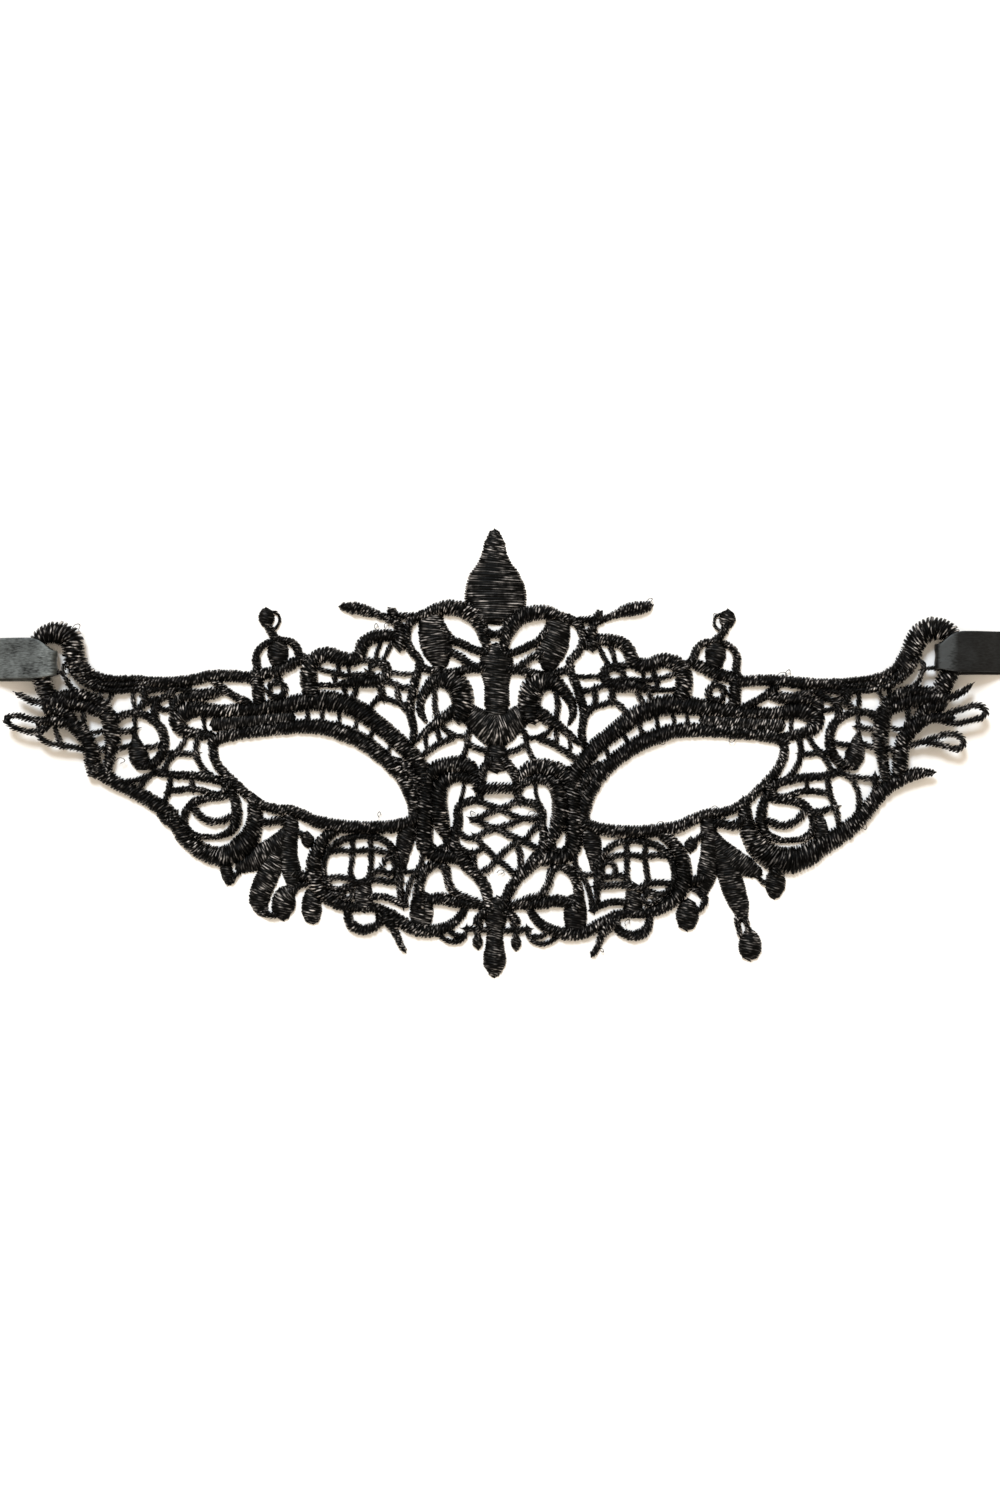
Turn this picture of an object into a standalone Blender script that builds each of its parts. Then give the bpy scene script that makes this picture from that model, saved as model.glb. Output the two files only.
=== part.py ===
"""Lace half mask with a ribbon tie at each end, lying flat with its front face up.

The lace is one piece of embroidery: padded satin cords, thin braided bars and satin filled shapes,
all drawn here as strands. Each strand is a route and a list of widths. The strands are merged into
one flat outline with its gaps cut through, and the padded cords are raised along their middles.
Frame: +X to the right of the photographed mask, +Y to the forehead, +Z up, floor at Z = 0.
"""
import math
from collections import namedtuple

import bmesh
import bpy
import numpy as np
from mathutils import Vector
from mathutils.geometry import delaunay_2d_cdt

# Driving dimensions, in metres
LACE_WIDTH = 0.240          # tip to tip of the outermost picots
LACE_HEIGHT = 0.1085        # crest to tail
CORD_WIDTH = 0.0030         # usual width of a padded cord, 100 in the width columns
BAR_WIDTH = 0.0012          # usual width of a braided bar, 100 in the width columns
FILL_WIDTH = 0.0060         # usual width of a satin filled shape, 100 in the width columns
EDGE_THICKNESS = 0.0010     # lace along its cut edge and on the thin bars
PAD_THICKNESS = 0.0019      # lace on the crown of a padded cord
END_LIFT = 0.0034           # how far the wing ends stand off the floor
LIFT_START = 0.66           # share of the half width where the lace leaves the floor

RIBBON_WIDTH = 0.0100
RIBBON_WAIST = 0.0056       # ribbon where the end loop gathers it
RIBBON_WALL = 0.0010
RIBBON_CLEARANCE = 0.0003   # air between the ribbon and the end cord, all round
RIBBON_REACH = 0.0060       # ribbon beyond the outermost picot
RIBBON_FOLD_BACK = 0.0008   # how far the lower layer shows beside the upper one

# Fineness of the faceted solid, in metres
SAMPLE_STEP = 0.0026        # longest straight stretch along a strand
OUTLINE_TOLERANCE = 0.00016
SMALLEST_GAP = 9.9e-6       # square metres; a smaller hole is closed in this solid
SHARPEST_TURN = 0.55        # radians of turn between two samples of a strand
CAP_POINTS = 3              # extra points on a strand's round end
RING_POINTS = 8

HALF_WIDTH = LACE_WIDTH / 2
PERCENT_X = HALF_WIDTH / 100
PERCENT_Y = LACE_HEIGHT / 100

CORD, BAR, FILL = "cord", "bar", "fill"
NOMINAL_WIDTH = {CORD: CORD_WIDTH, BAR: BAR_WIDTH, FILL: FILL_WIDTH}

# A strand: its finish, its widths from start to end in percent of the finish's usual width, and
# its route, points of (percent of the half width from the centre line, percent of the height up
# from the tail tip). The tables were drawn by hand over the mask, motif by motif.
Strand = namedtuple("Strand", "finish widths route")


def ring(finish, width, centre, radii):
    """A closed round strand; centre and radii in the same percents as a route."""
    points = []
    for step in range(RING_POINTS + 1):
        angle = 2 * math.pi * step / RING_POINTS
        points.append((centre[0] + radii[0] * math.cos(angle), centre[1] + radii[1] * math.sin(angle)))
    return Strand(finish, (width,), tuple(points))


CENTRE = (
    # crest, eyelet, stem, heart band, knot and the bar between the scroll heads
    Strand(FILL, (42, 82, 98, 127, 190, 223, 242, 243, 233), ((-0.3, 100), (-0.3, 90), (0, 82))),
    ring(CORD, 63, (-0.2, 79.6), (2.5, 2.75)),
    Strand(FILL, (92, 133, 137, 117, 100, 100, 103), ((0.1, 73.8), (0.1, 67), (0.2, 61))),
    Strand(FILL, (68, 80, 98, 125, 148, 125, 98, 80, 68),
           ((-7.8, 61.4), (-6.2, 59.6), (-4.4, 58), (-2.2, 56.4), (0, 55.4), (2.2, 56.4), (4.4, 58),
            (6.2, 59.6), (8, 61.2))),
    Strand(FILL, (72, 96, 98, 84), ((0.1, 51.6), (0.1, 49.4), (0.1, 46.7))),
    Strand(BAR, (170,), ((-3.8, 42.2), (0.3, 42.2), (4.4, 42.2))),
    # tail
    Strand(FILL, (83, 107, 90, 70, 67, 76, 92, 90, 42), ((0.2, 16.6), (-0.2, 10), (-0.3, 5), (-0.3, 0))),
)

NOSE_NET = (
    Strand(BAR, (100,), ((-4.6, 34.9), (-2, 36.3), (0, 37.3), (2, 38), (4.4, 39.3))),
    Strand(BAR, (100,), ((-4.6, 39.8), (-1.5, 38.4), (1.5, 37.2), (4, 35.8), (6.5, 35.2), (8.8, 35.6))),
    Strand(BAR, (105,), ((-5, 35.4), (-2, 33.9), (0, 33), (2.5, 31.8), (5, 30.5), (7, 29.4), (9, 28.4))),
    Strand(BAR, (100,), ((-8.6, 33), (-6, 31), (-4, 31.2), (-2, 32.4), (0, 33.1), (2.5, 33.9), (5.5, 35.3))),
    Strand(BAR, (100,), ((-4.4, 31.5), (-2.3, 28.8), (0, 26.4), (2, 24.6), (3.9, 22.6))),
    Strand(BAR, (100,), ((0.2, 26.2), (2.2, 28.4), (4.2, 29.8), (6.2, 30.8), (7.3, 32.5), (8.8, 34.2))),
    Strand(BAR, (100,), ((-3.3, 22.9), (-1.3, 24.3), (0.3, 26))),
    Strand(BAR, (100,), ((-7.8, 29), (-5, 27.4), (-2.6, 28.8))),
    Strand(BAR, (100,), ((4, 29.8), (4.9, 27.5), (5, 25), (4.4, 23))),
    Strand(BAR, (100,), ((-4.7, 27.4), (-4.6, 25.4), (-4.2, 24))),
)

# The tables below hold one half; the other half is their mirror image, moved by HALF_SHIFTS

UPPER_SCROLL = (
    # leg of the eyelet, arch and down the inner edge to the brow
    Strand(CORD, (67, 80, 100, 115, 117, 113, 93, 70, 60),
           ((1.35, 73), (2.1, 76), (3.3, 79), (5.5, 81), (8, 81.8), (10.5, 81.8), (12.8, 81), (14.8, 80.2),
            (16.8, 79.4))),
    Strand(CORD, (60, 66, 64, 64, 60, 64, 67, 66, 64, 60, 55),
           ((14.6, 80.8), (16.3, 79.6), (17.5, 77.8), (17.8, 75.7), (17.3, 73.8), (16.2, 72.2), (15.0, 70.6),
            (15.3, 68.3), (16.3, 66), (17, 63.3), (17.8, 60.5), (17.9, 57.8), (17.5, 55), (17.8, 52))),
    Strand(CORD, (66,), ((1.6, 80.9), (3.2, 81.6), (5, 82.2))),
    Strand(BAR, (110,), ((16.6, 80.4), (18, 80.2), (19.6, 80.4))),
    Strand(FILL, (92, 108, 127, 118, 62), ((12.8, 80.6), (12.4, 77.5), (11.6, 74.5), (11, 72), (10.8, 69.4))),
    Strand(CORD, (60, 60, 66, 60), ((1.5, 72.2), (4.4, 73.1), (6.6, 74.3), (8.6, 75.3), (10.5, 78))),
    Strand(BAR, (120,), ((3.4, 68.9), (5.6, 70.1), (6.8, 71.4), (8.6, 72.2), (10, 72.4))),
    Strand(CORD, (72, 70, 60, 55, 62), ((2.4, 69), (5, 68.8), (7.5, 68.1), (10, 67.9), (12.5, 68.2),
                                       (15, 69.2))),
    # satin scroll beside the stem, its hooked tip and the cord below it
    Strand(CORD, (153, 158, 172, 168, 140, 113, 87, 67, 60, 36),
           ((7.3, 58.6), (6.9, 60.5), (6.9, 62.8), (7.7, 65), (9.8, 66.3), (12, 65.9), (14, 63.9),
            (15.5, 61.3), (15.7, 58.8), (14.9, 56.7))),
    Strand(CORD, (100, 87, 60, 40), ((8.6, 59.3), (11.3, 57.3), (14, 55.2), (17.2, 52.2))),
    Strand(BAR, (92,), ((12.4, 64.8), (12.5, 62.5), (12.6, 60.3), (12.3, 58.3), (11.6, 57))),
    Strand(BAR, (66,), ((15.3, 62.1), (17.2, 62.3))),
    # net between the heart band, the knot and the brow
    Strand(BAR, (100,), ((1.6, 50), (4.3, 50.9), (6, 52), (6.2, 53.6), (5.5, 55.4))),
    Strand(BAR, (78,), ((6, 53.6), (8, 53.6), (10, 54.4), (11.5, 55.8))),
    Strand(BAR, (108,), ((8.7, 53.4), (11.3, 52.3), (13.7, 50.8), (16.5, 48.6))),
    Strand(BAR, (85,), ((12.2, 55), (12.4, 53.4), (11.8, 52.2))),
    Strand(BAR, (66,), ((14.8, 54.8), (15.1, 52.8), (15.2, 51), (14.9, 49.9))),
    Strand(BAR, (92,), ((6.2, 52.2), (7, 50), (7.8, 48.2))),
)

TOP_EDGE = (
    # two humps
    Strand(CORD, (80, 87, 90, 95, 100, 100, 107, 110, 110, 112, 115, 127, 127, 127),
           ((18.6, 74.5), (20.3, 75.6), (22.5, 75.7), (24.8, 75.3), (26.6, 74.2), (27.4, 72.5), (28, 70.8),
            (29.6, 69.9), (31.8, 70.1), (34, 71), (36, 70.7), (37.6, 69.4), (38.4, 67.4), (38.4, 65.3),
            (38, 62.8))),
    Strand(CORD, (73,), ((20.5, 80.5), (21.1, 81.3))),
    Strand(BAR, (75,), ((20.8, 74.5), (21.8, 72.3), (23, 70))),
    Strand(BAR, (75,), ((23.2, 74.5), (24.1, 72), (24.5, 69.9))),
    Strand(BAR, (92,), ((22.6, 69.6), (24.5, 70), (26.2, 70), (27.8, 69.8))),
    # curl and the cord that leaves it
    ring(BAR, 105, (24.2, 67.8), (1.8, 1.5)),
    Strand(CORD, (47, 60, 75, 92, 97, 94, 67, 42, 37, 37),
           ((22.6, 69.8), (21.9, 68.3), (22.2, 66.8), (23.5, 65.6), (25.5, 65.2), (27.5, 65.3), (29.5, 65),
            (31.3, 64.6), (34, 64.3), (36.8, 64.4))),
    Strand(BAR, (82,), ((25.6, 66.8), (28, 66.8), (30.5, 66.5), (32.5, 66.8), (34.5, 67.2), (36.8, 68.2))),
    Strand(BAR, (75,), ((32.3, 69.4), (32.3, 66.8))),
    Strand(BAR, (66,), ((30.1, 68.8), (30.1, 66.8))),
    Strand(BAR, (75,), ((33, 67), (33, 64.4))),
    Strand(BAR, (85,), ((28.4, 64.8), (29.2, 63), (30, 61.2))),
    Strand(BAR, (85,), ((31.3, 64.8), (31.4, 62.4))),
    # net between the inner cord and the brow
    Strand(BAR, (75,), ((15.9, 67.5), (19, 67.3), (22, 67.6))),
    Strand(BAR, (100,), ((16.9, 64.1), (19, 64.2), (20.4, 64.7), (22, 65.4), (23.6, 65.2))),
    Strand(BAR, (92,), ((20.2, 64.7), (20.3, 62.8), (20, 61), (19.2, 59.6), (18.2, 58.5))),
    Strand(BAR, (92,), ((18.5, 60.1), (20.5, 60.6), (22.3, 61.3), (24.3, 61.6), (25.6, 60.6), (26.8, 59))),
    Strand(BAR, (125,), ((23.9, 65.2), (23.7, 63.3), (23.6, 61.5))),
)

TOP_RING = (
    Strand(CORD, (55, 66, 60, 53, 47, 47, 53, 60, 62, 66),
           ((38.3, 69.3), (40.2, 71), (40.9, 73.2), (42.3, 74.9), (44.6, 75.3), (46.8, 74.8), (48.6, 73.4),
            (49.3, 71.2), (49, 69), (49.4, 66.6))),
    Strand(FILL, (60, 84, 84, 68), ((44.6, 75.3), (44.9, 72.8), (44.6, 70))),
    Strand(CORD, (73, 87, 93, 87, 80), ((39.4, 70.6), (41.5, 69.8), (44, 68.5), (46.5, 67.6), (49.5, 66.9))),
    Strand(CORD, (93,), ((49.3, 67.2), (48.9, 65), (48.7, 61.4))),
    ring(BAR, 108, (45, 63.7), (1.65, 1.75)),
    Strand(BAR, (85,), ((44.2, 65.3), (44.9, 66.6), (46, 68))),
    Strand(CORD, (60,), ((44.9, 75.4), (46.2, 77), (47.1, 79))),
    Strand(FILL, (44, 62, 66, 60, 42), ((47.4, 81.9), (47.3, 80.3), (47.2, 78.7))),
    Strand(BAR, (50,), ((46.6, 77.4), (45.2, 78.1), (44.5, 79.8), (45.1, 81.2), (46.4, 81.6))),
)

BROW = (
    Strand(CORD, (73, 80, 120, 140, 118, 93, 96, 104, 112, 125, 140, 152, 147, 137, 127, 124, 124, 127, 133,
                  133, 133, 133, 120),
           ((59.2, 53.9), (61.7, 54.3), (64.5, 55.4), (65.5, 57.3), (64.4, 59), (61.8, 59.8), (59, 59.2),
            (55, 59.0), (50, 59.4), (45, 60), (40, 60.7), (36, 61), (32.5, 60.4), (29, 58.8), (26, 56.5),
            (23, 53.9), (20.3, 51.3), (17.8, 48.3), (16.2, 45), (15.6, 41.5), (15.7, 38), (16, 34.5),
            (16, 31.5), (15.8, 28.6))),
    Strand(CORD, (87, 93, 90, 93, 97, 103, 110, 117, 123, 120, 113, 110, 107, 107, 100, 87),
           ((58.8, 52.8), (57, 53.6), (54, 54.2), (50, 54.6), (45, 55.1), (40, 55.4), (36, 55), (32, 53.6),
            (28.5, 51.9), (25.5, 49.6), (22.8, 47), (20.6, 44.2), (19, 41), (18.1, 38), (17.8, 35.5),
            (18.4, 33.6))),
    Strand(CORD, (55, 70, 72, 60), ((17.4, 40), (18.5, 43.2), (19.9, 45.8), (21, 47.5))),
    Strand(FILL, (58,), ((42.3, 57.5), (46, 57.3), (50, 57), (54, 56.7), (58.4, 56.4))),
)

# ladder rungs between the brow cord and the eye rim: upper end and lower end of each
BROW_RUNGS = (
    ((22.0, 52.0), (23.4, 48.6)),
    ((25.4, 55.6), (26.9, 52.4)),
    ((28.9, 57.8), (29.9, 54.4)),
    ((32.7, 59.4), (33.1, 55.4)),
    ((36.2, 59.8), (36.4, 56.0)),
    ((39.1, 59.6), (39.1, 56.0)),
    ((60.3, 58.8), (60.3, 54.4)),
)

LOWER_RIM = (
    Strand(CORD, (87, 93, 93, 93, 97, 97, 93, 87, 80, 73, 73, 70, 70, 70, 70, 70, 70),
           ((17.6, 34.8), (19.8, 33.4), (23, 32.6), (27, 32.3), (31, 32.3), (35, 32.9), (38, 33.8),
            (40.5, 35.1), (43, 36.3), (46, 36.7), (49, 37.7), (52, 40), (55, 43.2), (57.5, 46.3),
            (58.7, 49), (58.9, 51.5), (58.7, 53.4))),
)

SCROLL_HEAD = (
    Strand(CORD, (80, 112, 127, 127, 127, 125), ((4.8, 44.6), (6.5, 46.4), (9, 47), (11.5, 46.5), (14, 45.4),
                                                (15.8, 43))),
    Strand(CORD, (53, 73, 80, 93, 115, 132, 140, 130, 97, 66, 47, 47),
           ((4.6, 41), (5.2, 43), (7.2, 44), (9.8, 44.2), (12, 43), (13.1, 40.5), (13.3, 37.5), (12.9, 34.5),
            (11.9, 32), (11.2, 30), (11.8, 28.2), (13.6, 28), (14.9, 29.6))),
    Strand(CORD, (80, 74, 70, 60, 53, 53), ((1.4, 48.4), (2.6, 47.2), (3.7, 45.6), (4.2, 43.4), (4.4, 41),
                                           (4.8, 38.8))),
    Strand(CORD, (53, 60, 66, 66, 66), ((4.5, 40.4), (5.6, 39.1), (7.5, 38.7), (9.1, 37.5), (9.4, 35.4),
                                       (9.2, 33.4))),
    Strand(BAR, (66,), ((8, 43.6), (8.1, 41.3), (8.9, 38.8))),
)

HEART = (
    Strand(CORD, (66, 66, 73, 90, 104, 95, 83, 83, 80, 80),
           ((9.4, 36.4), (9.2, 34.3), (9.9, 31.8), (9.7, 29), (8.6, 26.5), (6.6, 24.2), (4.6, 22), (3, 19.6),
            (1.9, 17), (1.1, 14.4))),
    Strand(CORD, (100, 107, 104, 87, 87), ((7.8, 26), (10.5, 26.2), (13, 26.3), (15.2, 27.4), (16, 29.5))),
    Strand(CORD, (50, 60, 78, 73, 73, 87, 107),
           ((10.9, 23.2), (12.2, 24.2), (14, 24.3), (15.7, 22.8), (16.6, 20.5), (16.9, 18), (16.6, 15.4))),
    Strand(BAR, (125,), ((12.2, 24.2), (11.2, 22.8), (10.8, 21), (10.2, 19.3), (9, 18), (6.8, 17.2),
                         (4.3, 16.2), (2.2, 15.4))),
    Strand(CORD, (47, 60, 80, 87, 93, 80), ((1.6, 15.2), (4.5, 15.6), (7.5, 16), (10, 16.2), (12.3, 16.8),
                                           (14.8, 16.2))),
)

LOWER_EDGE = (
    # scallops under the mask and round the outside of the medallion
    Strand(CORD, (53, 66, 73, 87, 100, 100, 93, 87, 80, 73, 73, 80, 93, 107, 118, 122, 118, 107, 93, 80),
           ((6.3, 15.9), (7.6, 13.4), (9.3, 11.4), (11.5, 10), (14, 9.3), (16.5, 9.3), (19, 10), (21.2, 11.4),
            (23.6, 12.9), (26, 13.8), (28.5, 13.9), (31, 14), (33.5, 14.9), (35.8, 16.6), (37.5, 18.8),
            (38.3, 21.5), (38.3, 24.5), (37.4, 27.5), (36, 29.9), (33.8, 31.8))),
    Strand(FILL, (70, 92, 95, 80), ((16.3, 17.4), (16.2, 14), (16.3, 10.4))),
    Strand(CORD, (53,), ((19.6, 14.8), (22, 15.9), (24, 16.5), (27, 16.3))),
    Strand(CORD, (80, 66, 73, 80, 80, 63, 53),
           ((24.4, 12), (24.8, 10.4), (26.4, 9.2), (28.5, 8.8), (30.3, 9.7), (31.2, 11.5), (31.4, 14))),
    Strand(CORD, (100, 87, 60, 50, 47), ((23.6, 11.8), (22.1, 9.8), (21.3, 7.8), (20.6, 6), (19.8, 4.6))),
    Strand(BAR, (105,), ((1.2, 10), (4, 10.1), (6.6, 10.3))),
    Strand(BAR, (100,), ((4.1, 10.3), (4.1, 8))),
    Strand(FILL, (22, 42, 40, 20), ((4.1, 8.7), (4.1, 7.2), (4.1, 5.7))),
    Strand(CORD, (66, 73, 60), ((2, 14.4), (3.3, 13.1), (4.3, 12.1))),
    Strand(BAR, (120,), ((3.6, 12.6), (3.7, 10))),
    Strand(BAR, (80,), ((6.4, 10.6), (6.8, 8.4), (8.3, 7.2), (10.4, 7.1), (12.4, 8.4))),
    Strand(BAR, (85,), ((7.3, 8.6), (8.9, 8.6), (10.4, 9.6))),
    # between the arch and the medallion
    Strand(BAR, (85,), ((16, 27.4), (16.3, 25), (17.1, 23.2), (18.2, 21.3), (18.9, 19.3), (19.4, 17.2),
                        (19.8, 14.6))),
    Strand(BAR, (85,), ((16.8, 22.9), (18.5, 22.7), (20.6, 23))),
    Strand(BAR, (108,), ((20.2, 26), (20.5, 22.5), (20.7, 20), (20.6, 17.5), (20.2, 14.8))),
    Strand(FILL, (66, 75, 58, 40), ((19.2, 32.6), (19.8, 29), (20.2, 26), (20.4, 23.6))),
    Strand(BAR, (115,), ((20.4, 20.1), (23.5, 20.2), (25.5, 20.4), (27.8, 20))),
)

MEDALLION = (
    Strand(CORD, (53,), ((35.3, 19), (36.3, 21), (36.5, 23.5), (36, 25.6), (34.9, 27.5), (33, 29.1),
                         (30.5, 30), (27.5, 30.3), (24.8, 29.8), (22.6, 28.2), (21.4, 25.8), (21.1, 23.4),
                         (21.5, 20.4))),
    Strand(BAR, (100,), ((22.8, 26.4), (25, 27), (27.5, 27.1), (30, 26.7), (32.5, 27), (35, 26.9))),
    Strand(BAR, (92,), ((26.7, 30.2), (26.7, 27), (26.7, 24.5), (26.9, 22), (27.4, 19.6))),
    Strand(BAR, (92,), ((30.5, 29.8), (30.5, 26.6), (30.7, 23.8), (31, 21.6), (30.2, 19.9))),
    Strand(BAR, (100,), ((27.2, 19.8), (29, 19.5), (30.5, 20.3), (33, 20.9), (36, 20.6))),
    Strand(BAR, (85,), ((29.6, 19.4), (31.6, 18.8), (33.4, 18.2), (35.6, 18.9))),
    ring(BAR, 96, (31.4, 17.2), (1.25, 1.35)),
    Strand(BAR, (110,), ((32.4, 17), (34, 16.8), (35.6, 17.4))),
    ring(BAR, 92, (23, 23.7), (1.35, 1.8)),
    Strand(BAR, (100,), ((24.1, 22.4), (25.5, 22.4), (27, 21.6))),
    Strand(FILL, (50, 68, 76, 76), ((28.1, 20), (28.1, 17), (28, 13.8))),
)

WING_SCROLL = (
    Strand(CORD, (60, 73, 80, 80, 66, 47, 43, 47, 64, 66, 66, 66, 62, 60, 53),
           ((55.7, 41.4), (54.7, 39), (54.2, 36.5), (54.3, 34), (55.3, 31.8), (57.5, 30.6), (60, 30.4),
            (62.7, 30.8), (64.6, 32.4), (65, 34.5), (64.4, 36.6), (62.7, 38.6), (60, 39.3), (57, 39.6),
            (55.3, 40.4))),
    Strand(BAR, (120,), ((55.2, 35), (57.5, 33.9), (59.7, 33.9), (61.8, 35.3), (63.4, 37.6))),
    Strand(CORD, (66, 66, 70, 66, 60, 60, 50),
           ((56.2, 41.6), (57.5, 43.3), (60, 44), (63, 44.6), (66, 44.8), (68.5, 45.2), (70.5, 46.3))),
    Strand(CORD, (66, 50, 47, 47, 50, 47), ((55.6, 42.6), (57.6, 40.3), (60, 40.6), (62, 41.3), (64.5, 41.5),
                                           (68.2, 41))),
    Strand(BAR, (78,), ((63.5, 44.8), (63.5, 41.2))),
    Strand(BAR, (100,), ((61.6, 54.2), (62.3, 51.5), (62.3, 49.3), (61.4, 47), (60.3, 45.3), (59, 43.8))),
    Strand(BAR, (92,), ((62.2, 50), (64, 49.8), (66, 50.1), (67.6, 48.3), (68.6, 46.2), (69.8, 45.2))),
    Strand(BAR, (85,), ((63.6, 54.2), (65, 51.8), (66.3, 50.3), (68.6, 50.4))),
)

WING_RING = (
    Strand(CORD, (66, 73, 73, 70, 73, 66, 62, 60, 62, 73),
           ((72.6, 47.3), (71, 47.5), (69.6, 48.7), (68.5, 50.7), (68.1, 53.3), (68.7, 56), (70.3, 58),
            (72.8, 59.2), (75.5, 59.3), (78.2, 58.2))),
    Strand(FILL, (20, 62, 82, 66), ((74, 54.6), (73.7, 52), (73.3, 49.7), (72.4, 47.2))),
    Strand(BAR, (85,), ((68.8, 52.6), (70.5, 52), (72.2, 52))),
    Strand(BAR, (75,), ((73.9, 59.3), (73.9, 56.5), (74, 54))),
    Strand(BAR, (100,), ((73.8, 56), (75.5, 55.6), (77.6, 55.6))),
    Strand(BAR, (92,), ((74.8, 52.3), (76.2, 51.6), (78, 51.3))),
    Strand(CORD, (100, 120, 127, 115, 87, 80, 80),
           ((79.8, 61.2), (79, 58.5), (78.5, 55.5), (78.4, 52.5), (78.8, 49.5), (79.1, 46.8), (79.8, 44))),
    Strand(CORD, (106, 113, 113, 120, 120, 107),
           ((86.8, 57.6), (84.6, 55.6), (83.1, 53), (82.5, 50), (82.3, 47.5), (82, 45.2))),
    Strand(BAR, (110,), ((79.6, 51.3), (81.4, 50.6))),
    Strand(BAR, (85,), ((78, 57), (81, 55.6), (83.6, 55.4), (84.8, 56.6))),
    Strand(BAR, (85,), ((83.9, 60.4), (84, 58), (84.2, 56.2))),
)

WING_TOP = (
    # along the top from the ring to the wing end
    Strand(CORD, (80, 87, 87, 87, 87, 87, 87), ((49.2, 66.1), (52, 66.4), (55, 66.5), (58.5, 66.4), (62, 65.9),
                                               (66, 65.6), (70, 65.6))),
    Strand(CORD, (60,), ((50.8, 60.6), (53.3, 61.9), (55, 63), (56.3, 64.2), (57.8, 65.6))),
    Strand(CORD, (66, 80, 84, 80, 66), ((56.2, 63), (58.5, 62.4), (61.5, 62.2), (64, 62.1), (65.8, 61),
                                       (66.2, 59))),
    Strand(BAR, (100,), ((57.6, 63.3), (60, 63), (63, 63.6), (65.3, 64.3), (68, 64.2), (70.5, 63.7),
                         (73.2, 64))),
    Strand(BAR, (70,), ((62.7, 65.2), (62.7, 63.4))),
    Strand(BAR, (115,), ((65.8, 63.6), (67.8, 62.4), (69.3, 61.5), (70, 60.2), (69.7, 58))),
    Strand(BAR, (85,), ((67.6, 62.6), (66.2, 61.4), (66.6, 60), (68.4, 59.9), (69.6, 61))),
    Strand(BAR, (108,), ((69.3, 62.1), (71.5, 61.4), (73, 60.3), (74.2, 59.3))),
    Strand(BAR, (133,), ((71.5, 61.6), (71.8, 63), (71.6, 64.4))),
    Strand(BAR, (75,), ((74, 64.2), (74.1, 61.8), (73.7, 59.6))),
    Strand(BAR, (75,), ((77.8, 64.2), (79, 62.2), (79.8, 60.6))),
    Strand(BAR, (75,), ((80.2, 65), (80.2, 63), (80.6, 61.4))),
    # cords that fan out at the wing end
    Strand(CORD, (93, 100, 113, 120, 127), ((78, 58.6), (81, 60.4), (84, 61.7), (87, 62.2), (90.4, 62.4))),
    Strand(CORD, (87, 93, 100, 93, 87), ((80, 61.6), (82.3, 63.3), (85, 64), (87.5, 63.8), (90, 63.6))),
    Strand(CORD, (87, 93, 87, 73), ((84, 56.2), (86.5, 57.6), (89.5, 58.1), (92.4, 58))),
    Strand(CORD, (87, 100, 100), ((86.2, 58.4), (87.4, 60), (90.4, 60.8))),
    Strand(BAR, (75,), ((84.4, 64.4), (85.9, 66.3), (86.5, 67.7), (87.1, 69.3), (86.6, 70.8))),
    Strand(BAR, (75,), ((86.8, 69), (88.2, 69.2), (90.6, 69))),
)

# triple cord: along the top of the wing and once round the end loop that the ribbon passes through
END_BAND = (
    Strand(CORD, (80, 97, 130, 140, 147, 153, 153, 155, 165, 160, 138, 114, 107, 120, 133, 137, 133),
           ((66, 65.5), (70, 65.4), (74, 65.4), (78, 66), (81, 67.3), (83.2, 69.6), (84.4, 72.1), (85.1, 74.4),
            (86.3, 76.5), (88, 77.8), (90, 78.1), (92.3, 77.1), (93.7, 74.6), (93.7, 71.8), (92.8, 69), (91.6, 66.8),
            (90.7, 64.6), (90, 62))),
)

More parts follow.
